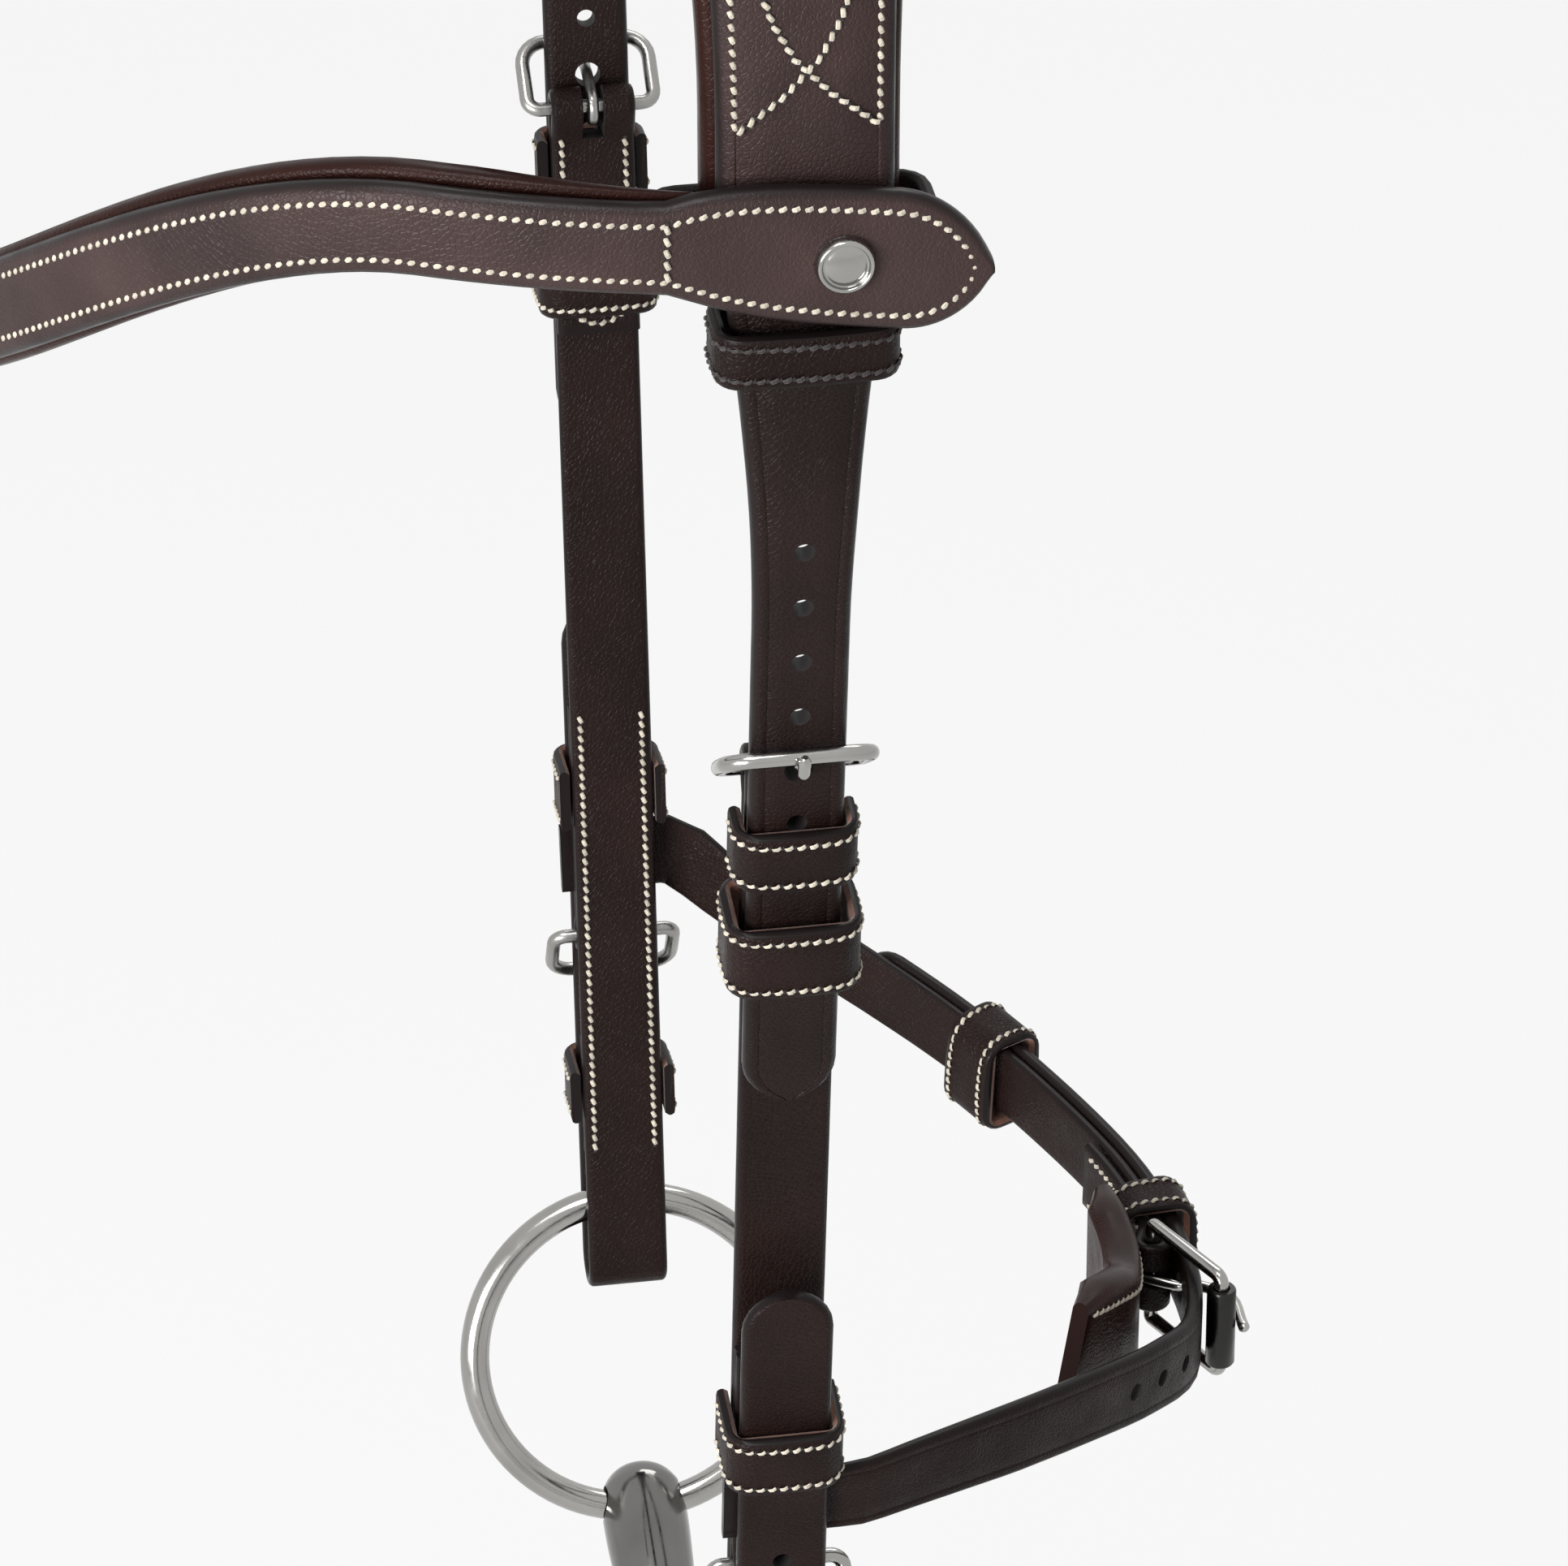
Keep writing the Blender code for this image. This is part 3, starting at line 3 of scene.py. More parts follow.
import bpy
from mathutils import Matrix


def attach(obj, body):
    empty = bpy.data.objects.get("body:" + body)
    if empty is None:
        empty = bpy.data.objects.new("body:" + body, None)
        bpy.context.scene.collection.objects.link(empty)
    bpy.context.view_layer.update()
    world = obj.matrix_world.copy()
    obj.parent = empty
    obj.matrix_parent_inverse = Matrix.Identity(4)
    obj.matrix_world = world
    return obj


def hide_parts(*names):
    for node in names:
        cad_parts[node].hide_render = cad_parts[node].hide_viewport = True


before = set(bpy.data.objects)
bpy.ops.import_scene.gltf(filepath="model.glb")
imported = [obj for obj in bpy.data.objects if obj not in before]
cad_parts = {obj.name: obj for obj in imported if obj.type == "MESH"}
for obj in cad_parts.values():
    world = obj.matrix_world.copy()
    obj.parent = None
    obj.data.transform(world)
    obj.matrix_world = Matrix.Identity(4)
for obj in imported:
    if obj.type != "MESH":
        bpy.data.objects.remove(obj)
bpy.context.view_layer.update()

import math
import random
from functools import partial

import bmesh
import bpy
from bpy.props import FloatProperty, FloatVectorProperty, PointerProperty
from mathutils import Vector

bl_info = {
    "name": "Horse bridle looks",
    "version": (1, 0, 0),
    "blender": (4, 5, 0),
    "location": "View3D > Sidebar > Bridle",
    "description": "Leather, thread, padding and steel for a horse bridle, with its studio stage",
    "category": "Add Mesh",
}

# Sizes of the bridle, the same as those of its solids

# Fits
GAP = 0.0003                    # seated faces keep this gap
HALF_GAP = GAP / 2

# Cheek line, measured down the strap from the browband crossing
CROWN_RISE = 0.130              # poll seat above the browband crossing
CHEEK_OUT = 0.1125              # cheek line from the centre plane at the browband
CHEEK_LEAN = math.radians(7.4)  # inward lean of the cheekpieces
BEND_START = 0.034
BEND_RADIUS = 0.090
ARCH_BASE = 0.022               # where the headpiece starts to arch, above the crossing

# Headpiece and its billets
HEAD_WIDTH = 0.0245
HEAD_THICK = 0.0040
HEAD_CROWN = 0.0007
CROWN_WIDTH = 0.0340            # headpiece over the poll
BILLET_WIDTH = 0.0140
BILLET_THICK = 0.0032
BILLET_FULL_AT = -0.006         # billet starts to narrow here
BILLET_NARROW_AT = 0.060
BILLET_END = 0.147
HOLE_RADIUS = 0.0015
PRONG_HOLE_RADIUS = 0.0021
HOLE_PITCH = 0.0098
PRONG_HOLE_AT = 0.0838
HOLES_ABOVE = 4
HOLES_BELOW = 1

# Headpiece pad
PAD_THICK = 0.0060
PAD_WIDTH = 0.0275
PAD_CROWN_WIDTH = 0.0440
PAD_END_AT = 0.0035             # lower end of the pad, inside the browband loop

# Loop below the browband
LOOP_TOP_AT = 0.0077
LOOP_DEPTH = 0.0082
LOOP_THICK = 0.0018
LOOP_FIT = 0.0006

# Browband
BROW_CENTRE = 0.007             # band centre above the crossing
BROW_THICK = 0.0036
BROW_FACE = 0.0137
TONGUE_FACE = 0.0212
TONGUE_BACK = 0.0240            # tongue tip behind the cheek line
TONGUE_SHOULDER = 0.0100        # widest place of the tongue, behind the cheek line
TONGUE_NECK = 0.0200            # where the tongue has narrowed to the band
TONGUE_TIP_FACE = 0.0040
TONGUE_FALL_SHARE = 0.14        # the tongue slopes down towards its tip
BROW_STRAIGHT = 0.0160          # straight run in front of the cheek line
BROW_REACH = 0.1040             # from there to the front of the band
BROW_DIP = 0.0603
BROW_DIP_FROM = math.radians(20.0)
BROW_LIFT = 0.0022              # the band rises a little before it dips
BROW_LIFT_BY = math.radians(24.0)
BROW_PAD_THICK = 0.0038
BROW_PAD_FACE = 0.0178
BROW_PAD_START = 0.0235
SLEEVE_THICK = 0.0020
SLEEVE_FACE = 0.0120
SLEEVE_FIT = 0.0008
SLEEVE_BACK = 0.0165
SLEEVE_FRONT = 0.0190
STUD_RADIUS = 0.0041
STUD_HEIGHT = 0.0016
STUD_BACK = 0.0042              # stud centre behind the cheek line

# Cheekpiece
STRAP_WIDTH = 0.0140
STRAP_THICK = 0.0020
TURN_IN_END = 0.128
FOLD_CLOSE = 0.005              # length over which a turn-in closes behind its bar
FOLD_BOTTOM = 0.3130
RING_HANG = 0.0170              # ring bar above the bottom of the fold
LOOP_CLEAR = 0.0010
TIP_AT = 0.1825                 # end of the return billet
RETURN_THICK = 0.0024
SLOT_WIDTH = 0.0036
SLOT_REACH = 0.0065

# Upper buckle
UPPER_HEEL_AT = 0.0880
WIRE_RADIUS = 0.0012
BAR_FIT = 0.0002
FRAME_WIDTH = 0.0235
FRAME_LENGTH = 0.0125           # heel bar to front bar, middle to middle
FRAME_CORNER = 0.0042
UPPER_TILT = math.radians(47.0)
PRONG_RADIUS = 0.00095
PRONG_PAST = 0.0022

# Keepers on the cheekpieces
KEEPER_THICK = 0.0018
KEEPER_FIT = 0.0004
UPPER_KEEPER_AT = 0.0940
UPPER_KEEPER_DEPTH = 0.0105
RUNNER_AT = 0.1115
RUNNER_DEPTH = 0.0125
RUNNER_FIT = 0.0012
KEEPER_CORNER = 0.0009
BIT_KEEPER_AT = 0.2098
BIT_KEEPER_DEPTH = 0.0113
LOW_KEEPER_AT = 0.2680
LOW_KEEPER_DEPTH = 0.0100

# Bit-end buckle and its chape
BIT_HEEL_AT = 0.2435
CHAPE_CLOSE = 0.0040            # length over which the chape closes behind its bar
CHAPE_THICK = 0.0013
CHAPE_TOP_AT = 0.1990
CHAPE_WIDTH = 0.0138
BIT_FRAME_LENGTH = 0.0125
BIT_TILT = math.radians(36.0)
BIT_HOLE_AT = 0.2480
BIT_HOLES_ABOVE = 1
BIT_HOLES_BELOW = 1
TAB_TOP_AT = 0.2620
TAB_END_AT = 0.2850
TAB_THICK = 0.0020

# Bit
RING_RADIUS = 0.0284            # middle of the ring's bar
RING_BAR = 0.0026
RING_LEAN = math.radians(22.0)
CANNON_DROP = math.radians(19.8)  # slope of the mouthpiece arms
BUTT_RADIUS = 0.0075
BUTT_PAST = 0.0075
RING_HOLE = 0.0033
NECK_RADIUS = 0.0036
MID_RADIUS = 0.0060
EYE_RADIUS = 0.0067
EYE_BAR = 0.00175
EYE_SLACK = 0.0021

# Jaw strap
JAW_WIDTH = 0.0130
JAW_THICK = 0.0018
JAW_BILLET_THICK = 0.0026
JAW_TAB_THICK = 0.0019
JAW_AT = 0.2290
JAW_LOOP_LENGTH = 0.0780
JAW_SAG = 0.0220
JAW_TAB_FRONT = 0.0088
JAW_TAB_BACK = 0.0095
JAW_HEEL = 0.1470               # heel bar, along the strap from the far cheek
JAW_FRAME_LENGTH = 0.0190
JAW_FRAME_WIDTH = 0.0210
JAW_FRAME_CORNER = 0.0016
JAW_TILT = math.radians(23.0)
JAW_TURN_IN = 0.0300
JAW_BILLET_OVERLAP = 0.0960     # near strap's run past the heel bar, on the far strap
JAW_HOLE_PITCH = 0.0085
JAW_HOLES_AHEAD = 5
ROLLER_RADIUS = 0.0024
ROLLER_FIT = 0.0002
ROLLER_LENGTH = 0.0146
JAW_KEEPER_DEPTH = 0.0090
JAW_KEEPER_BACK = 0.0142        # keeper's near end before the heel bar
JAW_RUNNER_BACK = 0.0705
JAW_PRONG_SHARE = 0.30          # prong's hole, from the heel bar to the front bar
JAW_RUNNER_DEPTH = 0.0115
SAFE_BACK = 0.0110              # padded safe, before and past the heel bar
SAFE_PAST = 0.0500
SAFE_FACE = 0.0260
# Side, rearward and downward shares of the jaw strap's route, far to near
JAW_ROUTE_SHARES = (
    (-1.000, 0.000, 0.00), (-1.000, 0.122, 0.00), (-0.992, 0.175, 0.10),
    (-0.925, 0.285, 0.34), (-0.745, 0.535, 0.66), (-0.490, 0.755, 0.84),
    (-0.105, 0.950, 0.92), (0.190, 1.000, 0.92), (0.410, 0.965, 0.84),
    (0.560, 0.850, 0.62), (0.710, 0.665, 0.36), (0.835, 0.470, 0.17),
    (0.935, 0.290, 0.05), (0.992, 0.175, 0.00), (1.000, 0.122, 0.00),
    (1.000, 0.000, 0.00),
)
ROUTE_STEPS = 10
BLEND_STRETCH = 0.035           # jaw strap turns from the cheek's plane to upright

# Sizes of the looks

# Steps, and turns in degrees
SMOOTH_ANGLE = math.radians(38)
TINY = 1e-7
FINE_STEP = 0.0040
ARCH_FINE = 36
BROW_FINE = 44
BEND_STEPS = 12                 # round a fold
U_STEPS = 8                     # round the end of a seam
PAD_POINTS = 28
RING_STEPS = 96
EYE_STEPS = 40
ROLLER_STEPS = 32
PRONG_STEPS = 4
BAR_SIDES = 20                  # of the bit ring's bar
PRONG_SIDES = 12
THREAD_SIDES = 6
EDGE_TURNS = (-75, -45, -15, 15, 45, 75)
TIP_TURNS = (0, 15, 30, 43, 55, 66, 76, 84)
FRAME_TURNS = (0, 15, 30, 45, 60, 75, 90)
LOOP_TURNS = (0, 18, 36, 54, 72, 90)
SLEEVE_TURNS = (22, 45, 68, 90)
CURL_TURNS = (180, 205, 230, 255, 280, 302, 325)

# Sections of straps and pads
EDGE_ROUND_SHARE = 0.85
EDGE_FADE_POWER = 0.5           # how fast the edge paint fades round an edge
BACK_SHARES = (-0.9, -0.45, 0.0, 0.45, 0.9)
FACE_SHARE = 0.4                # point of the face between crease and middle
CREASE_INSET = 0.0009           # creased line inside a billet's edge
CREASE_WIDTH = 0.00028
CREASE_DEPTH = 0.00014
CREASE_PAINT = 0.25
PAD_SIDE_POWER = 0.45           # how square a pad's sides stand
PAD_SEAT_FROM = 0.5             # the part that lies flat on its strap
PAD_BACK_POWER = 0.7
PAD_BACK_LIFT = 0.72
PAD_BACK_RUN = 1.4
PAD_EDGE_POWER = 4
PAD_EASE = (0.5, 0.25)          # stuffing at a pad's end, and more of it per step inwards
BROW_PAD_EASE = (0.15, 0.10)
PAD_END_SHARE = 0.86            # width of the headpiece's pad at its ends
SAFE_END_SHARE = 0.75
SAFE_PUFF = 0.0062              # stuffing of the jaw safe
SLOT_PAST = 0.0020

# Loops and keepers
LINED_COLUMNS = (0, 1, 9)       # faces of a keeper that show its lining
LOOP_ROUND = 0.0040             # outer corners of the loops
LOOP_BULGE = 0.0007             # their front and back stand out in the middle
ROLL_SHARE = 0.3
# Rolled edge of a loop: rolls in from its end, and share of its thickness
ROLL_SHAPE = ((1.0, 0.0), (0.0, 0.38), (0.0, 0.66), (0.6, 0.92), (2.0, 1.0))
FLAT_SHARES = (0.2, 0.4, 0.6, 0.8)

# Browband
BROW_CROWN = 0.0004
SLEEVE_ABOVE = 0.0012           # sleeve's reach above the middle of the band
SLEEVE_CORNER_SHARE = 1.4
TONGUE_NOSE = 0.0130            # length of the tongue's rounded nose
TONGUE_NOSE_POWER = 0.66        # how full the nose is
BROW_PAD_PAST = 0.0095          # thin end of the pad, past its full part
BROW_PAD_SHOWN_SHARE = 0.55     # how far the pad stands proud of the band
# Height and radius shares from the stud's foot to the middle of its face
STUD_SHAPE = ((0, 0.0), (0, 0.5), (0, 0.98), (0.25, 1.0), (0.6, 0.99), (0.9, 0.94), (1, 0.88),
              (0.94, 0.82), (0.66, 0.78), (0.6, 0.72), (0.72, 0.6), (0.86, 0.4), (0.95, 0.2),
              (0.97, 0.0))

# Folds, prongs, roller and bit
CHEEK_NECK_SHARE = 0.6          # where a fold draws in behind its bar
CHAPE_NECK_SHARES = (0.55, 0.45)
JAW_NECK_SHARE = 0.45
JAW_TAB_PLACES = (-JAW_TAB_FRONT, 0, JAW_TAB_BACK)
PRONG_HOLE_EASE = 0.0004        # the jaw strap's prong hole is this much wider
PRONG_TIP_SHARE = 0.45
PRONG_TAPER = 0.28              # more of its thickness per step from the tip
PRONG_CURL_SHARE = 0.75         # thickness of the curled end
PRONG_RISE_SHARES = ((0.85, 0.45), (1.0, 0.8))
PRONG_OVER_SHARES = (0.55, 0.85)    # way from its hole to the front bar, and up
JAW_OVER_SHARE = 0.4
ROLLER_SHAPE = ((-1.0, 0.9), (-0.95, 1.0), (0.95, 1.0), (1.0, 0.9))
# Mouthpiece butt: places in lengths of its overhang, and radius shares
BUTT_SHAPE = ((-1.0, 0.0), (-0.985, 0.28), (-0.86, 0.62), (-0.55, 0.88), (-0.1, 1.0), (1.3, 0.99))
ARM_MIDDLE_SHARE = 0.45
ARM_NECK_SHARE = 0.7
ARM_TAPER_SHARE = 0.45
NECK_END_SHARE = 0.9
NECK_SUNK_SHARE = 0.2
NECK_TIP_SHARE = 1.15

# Seams
THREAD_LIFT = 0.00008
SEAM_INSET = 0.0017
HEAD_SEAM_INSET = 0.0024
HEAD_SEAM_Z = -0.1112           # the headpiece's seams begin here
BROW_SEAM_INSET = 0.0027
WAVE_CORNER = 0.0074            # the wavy rows run straight from each corner to a first crossing
WAVE_COUNT = 11                 # crossings of the two rows, less one
WAVE_REACH = 0.0066
CROSS_SEAM_BACK = 0.0207
STITCH_LENGTH_SHARE = 0.80
PRICK_ALONG = 0.00026           # dark disc between two stitches, painted shade of the stitch hole, half its length
PRICK_ACROSS = 0.00038
PRICK_DEPTH = 0.00030
PRICK_RISE = 0.00003
STITCH_SLANT = math.radians(24)
STITCH_WANDER = math.radians(4)
STITCH_FLATNESS = 0.55
# Along, lift and thickness shares of one stitch
STITCH_SHAPE_SHARES = ((-0.50, -0.80, 0.55), (-0.38, 0.10, 0.90), (0.0, 0.55, 1.0),
                       (0.38, 0.10, 0.90), (0.50, -0.80, 0.55))

# Finishes: a noise is its scale, detail and roughness; a span is the part of it that is used
DYE_DARK = 0.70
DYE_LIGHT = 1.18
DYE_NOISE = (45.0, 3.0)
DYE_SPAN = (0.35, 0.68)
PORE_WIDTH = 0.18
PORE_SHARE = 0.6
FOLD_COARSER = 5                # folds are this much coarser than the grain
FOLD_DETAIL = 4.0
PAINT_SPAN = (0.35, 0.95)
GLOSS_NOISE = (160.0, 3.0)
GLOSS_SPAN = (0.3, 0.7)
GLOSS_DOWN = 0.07
GLOSS_UP = 0.09
EDGE_POLISH = 0.10
SHEEN_AND_WAX_SHARES = (3.1, 3.9, 4.4)  # waxed face, lighter and greyer as painted sheen, against the plain leather
SHEEN_AND_WAX_FROM = -0.137             # headpiece: plain billet below, waxed face with painted sheen above
SHEEN_AND_WAX_TO = -0.122
INNER_SHARE = 0.85
PAD_RIM_SHARE = 0.7
DARK_THREAD_SHARE = 0.9
HOLE_ROUGHNESS = 0.7
# Finish, name, roughness, grain scale and depth, gloss
LEATHERS = (
    ("leather", "havana_leather", 0.42, 1300.0, 0.00012, 0.10),
    ("sheen_and_wax", "waxed_leather", 0.42, 1300.0, 0.00009, 0.16),
    ("headpiece", "headpiece_leather", 0.42, 1300.0, 0.00011, 0.13),
    ("inner", "inner_leather", 0.52, 1300.0, 0.0001, 0.10),
    ("padding", "soft_padding", 0.36, 1100.0, 0.00007, 0.10),
)
# Finish, name, share of the steel's colour, roughness and scratches
STEELS = (
    ("steel", "polished_steel", 1.0, 0.16, 0.04),
    # Half the steel's colour on the bit's arms and eyes: painted dark reflection
    ("bit_steel_dark_reflection", "bit_steel_dark_reflection", 0.5, 0.13, 0.04),
    # Satin steel, also on the bit's bores; its darker colour on the far buckles is painted shade
    ("satin_and_far_shade", "satin_and_far_shade_steel", 0.9, 0.30, 0.06),
    ("dark_steel", "dark_roller", 0.10, 0.26, 0.04),
)
SUEDE_ROUGHNESS = 0.85
SUEDE_NOISE = (220.0, 3.0)
SUEDE_SPAN = (0.35, 0.65)
SUEDE_DARK = 0.45
SUEDE_SHEEN = 0.25
FIBRE_NOISE = (900.0, 5.0, 0.7)
FIBRE_DEPTH = 0.00025
THREAD_ROUGHNESS = 0.62
THREAD_DARK = 0.72
THREAD_SHEEN = 0.2
STRAND_NOISE = (2600.0, 2.0)
STRAND_DEPTH = 0.00012
MARK_NOISE = (320.0, 5.0, 0.65)
MARK_SPAN = (0.35, 0.7)
MARK_DULLER = 1.6
MARK_DEPTH = 0.00001
SMUDGE_NOISE = (70.0, 2.0)
SMUDGE_SPAN = (0.4, 0.7)
SMUDGE_DARK = 0.86
# Sockets of a colour mix
MIX_SHARE = 0
MIX_FIRST = 6
MIX_SECOND = 7
MIX_COLOUR = 2

# Studio
FLOOR_Z = -0.75
FLOOR_SIZE = 14.0
FLOOR_GLOW_SHARE = 0.85
FLOOR_ROUGHNESS = 0.9
SENSOR_WIDTH = 36.0
CAMERA_LENS_MM = 175.4
CAMERA_PLACE = (1.0136, -0.1478, 0.3669)
CAMERA_AZIMUTH = 80.839
CAMERA_ELEVATION = 32.486
CAMERA_CLIP_START = 0.02
LAMP_SHAPE_SHARE = 0.7
# Name, place, aim, size and share of the power
STUDIO_LAMPS = (
    ("key_lamp", (1.25, -1.25, 0.12), (0.0, 0.0, -0.12), 1.1, 1.3),
    ("top_lamp", (0.6, -0.5, 1.9), (0.0, 0.0, -0.25), 1.2, 0.9),
    ("rim_lamp", (-1.5, 0.6, 1.3), (0.0, 0.0, -0.25), 1.2, 0.4),
)

SIDES = (("near", 1), ("far", -1))


def circle(steps, radius):
    """Points round a circle."""
    return [(radius * math.cos(math.tau * k / steps), radius * math.sin(math.tau * k / steps))
            for k in range(steps)]


def hermite(start, end, leaving, arriving, t):
    """Smooth curve from start to end, of numbers or vectors."""
    return (start * (2 * t ** 3 - 3 * t ** 2 + 1) + leaving * (t ** 3 - 2 * t ** 2 + t)
            + end * (3 * t ** 2 - 2 * t ** 3) + arriving * (t ** 3 - t ** 2))


CROSSING_Z = -CROWN_RISE
APEX_Z = PAD_THICK + HALF_GAP


def cheek_frame(s):
    """Place, downward and outward directions at s along the near cheek line."""
    if s <= BEND_START:
        return Vector((CHEEK_OUT, 0, CROSSING_Z - s)), Vector((0, 0, -1)), Vector((1, 0, 0))
    turn = min((s - BEND_START) / BEND_RADIUS, CHEEK_LEAN)
    place = Vector((CHEEK_OUT - BEND_RADIUS * (1 - math.cos(turn)), 0,
                    CROSSING_Z - BEND_START - BEND_RADIUS * math.sin(turn)))
    down = Vector((-math.sin(turn), 0, -math.cos(turn)))
    straight = max(0.0, s - BEND_START - BEND_RADIUS * CHEEK_LEAN)
    return place + down * straight, down, Vector((math.cos(turn), 0, -math.sin(turn)))


def cheek_point(side, s, q, n):
    """World point at s down the cheek line, q behind it and n outside it."""
    place, _, outward = cheek_frame(s)
    point = place + outward * n + Vector((0, q, 0))
    point.x *= side
    return point


def cheek_axis(side, s):
    """Downward and outward directions of the cheek line on one side."""
    _, down, outward = cheek_frame(s)
    return Vector((side * down.x, 0, down.z)), Vector((side * outward.x, 0, outward.z))


def crown_share(place):
    """Nought at the arch base and one over the poll."""
    base = CROSSING_Z + ARCH_BASE
    share = max(0.0, (place.z - base) / (APEX_Z - base))
    return share * share * (3 - 2 * share)


def mixed(low, high, share):
    """A number or place between two others."""
    return low + (high - low) * share


def head_width(s):
    """Width of the headpiece at s down the cheek line."""
    share = min(1.0, max(0.0, (s - BILLET_FULL_AT) / (BILLET_NARROW_AT - BILLET_FULL_AT)))
    return mixed(HEAD_WIDTH, BILLET_WIDTH, math.sin(share * math.pi / 2))


BAND_INNER = HALF_GAP + HEAD_THICK + HEAD_CROWN + GAP + SLEEVE_FIT
BAND_OUTER = BAND_INNER + BROW_THICK
BAND_Z = CROSSING_Z + BROW_CENTRE


def brow_line(angle):
    """Reference point and axes on the near half of the band; angle 90 degrees is the front."""
    out = CHEEK_OUT + BAND_INNER
    share = max(0.0, (angle - BROW_DIP_FROM) / (math.pi / 2 - BROW_DIP_FROM))
    dip = BROW_DIP * share * share * (3 - 2 * share)
    lift = BROW_LIFT * math.sin(min(1.0, angle / BROW_LIFT_BY) * math.pi / 2)
    place = Vector((out * math.cos(angle), -BROW_STRAIGHT - BROW_REACH * math.sin(angle),
                    BAND_Z + lift - dip))
    slope = BROW_DIP * 6 * share * (1 - share) / (math.pi / 2 - BROW_DIP_FROM)
    along = Vector((-out * math.sin(angle), -BROW_REACH * math.cos(angle), -slope)).normalized()
    outward = Vector((BROW_REACH * math.cos(angle), -out * math.sin(angle), 0)).normalized()
    up = outward.cross(along).normalized()
    return place, -up if up.z < 0 else up, outward


def tongue_place(y, out):
    """A point of the straight run and the tongue, which slopes down to its tip."""
    return Vector((out, y, BAND_Z - TONGUE_FALL_SHARE * (y + BROW_STRAIGHT)))


def tongue_face(y):
    """Height of the tongue at y, from its pointed tip to the band."""
    if y > TONGUE_SHOULDER:
        share = (TONGUE_BACK - y) / (TONGUE_BACK - TONGUE_SHOULDER)
        return mixed(TONGUE_TIP_FACE, TONGUE_FACE, math.sin(share * math.pi / 2))
    share = min(1.0, (TONGUE_SHOULDER - y) / (TONGUE_SHOULDER + TONGUE_NECK))
    return mixed(TONGUE_FACE, BROW_FACE, share * share * share)


CHEEK_INNER = -HALF_GAP - STRAP_THICK           # inner face of the strap
HEEL_IN = CHEEK_INNER - WIRE_RADIUS - BAR_FIT   # depth of the upper heel bar
LOOP_GAP = 2 * RING_BAR + LOOP_CLEAR            # ring bar's room in the fold
RETURN_INNER = -HALF_GAP + LOOP_GAP             # inner face of the return billet
RETURN_OUTER = RETURN_INNER + RETURN_THICK
FOLD_RADIUS = LOOP_GAP / 2
BIT_HEEL_IN = GAP + CHAPE_THICK + WIRE_RADIUS + BAR_FIT


def frame_path(length, width, corner):
    """Rounded frame outline as (along, across), heel bar at along = 0."""
    half = width / 2 - WIRE_RADIUS
    small = corner / 2
    spots = ((length - corner, half - corner, 0, corner), (small, half - small, 90, small),
             (small, -half + small, 180, small), (length - corner, -half + corner, 270, corner))
    points = []
    for along, across, start, radius in spots:
        for step in FRAME_TURNS:
            turn = math.radians(start + step)
            points.append((along + radius * math.cos(turn), across + radius * math.sin(turn)))
    return points


HANG_AT = FOLD_BOTTOM - RING_HANG
HANG_DEPTH = (RETURN_INNER - HALF_GAP) / 2


def bit_places(side):
    """Top of the ring's bar, ring centre, bottom of the bar and the ring's down axis."""
    top = cheek_point(side, HANG_AT, 0, HANG_DEPTH)
    down = Vector((-side * math.sin(RING_LEAN), 0, -math.cos(RING_LEAN)))
    return top, top + down * RING_RADIUS, top + down * 2 * RING_RADIUS, down


CANNON_LENGTH = bit_places(1)[2].x / math.cos(CANNON_DROP)


def cannon_axis(side):
    """Direction from the ring's bar to the centre joint."""
    return Vector((-side * math.cos(CANNON_DROP), 0, -math.sin(CANNON_DROP)))


def jaw_route():
    """Evenly divided smooth line through the route's places, far cheek to near."""
    near = cheek_point(1, JAW_AT, 0, (RETURN_INNER + HALF_GAP + 2 * CHAPE_THICK + GAP) / 2)
    knots = [Vector((near.x * side, JAW_LOOP_LENGTH * back, near.z - JAW_SAG * drop))
             for side, back, drop in JAW_ROUTE_SHARES]
    points = []
    for k, (start, end) in enumerate(zip(knots, knots[1:])):
        leaving = (end - knots[k - 1]) / 2 if k else end - start
        arriving = (knots[k + 2] - start) / 2 if k < len(knots) - 2 else end - start
        points += [hermite(start, end, leaving, arriving, step / ROUTE_STEPS)
                   for step in range(ROUTE_STEPS)]
    return points + [knots[-1]]


JAW_POINTS = jaw_route()
JAW_LENGTHS = [0.0]
for before, after in zip(JAW_POINTS, JAW_POINTS[1:]):
    JAW_LENGTHS.append(JAW_LENGTHS[-1] + (after - before).length)
JAW_TOTAL = JAW_LENGTHS[-1]


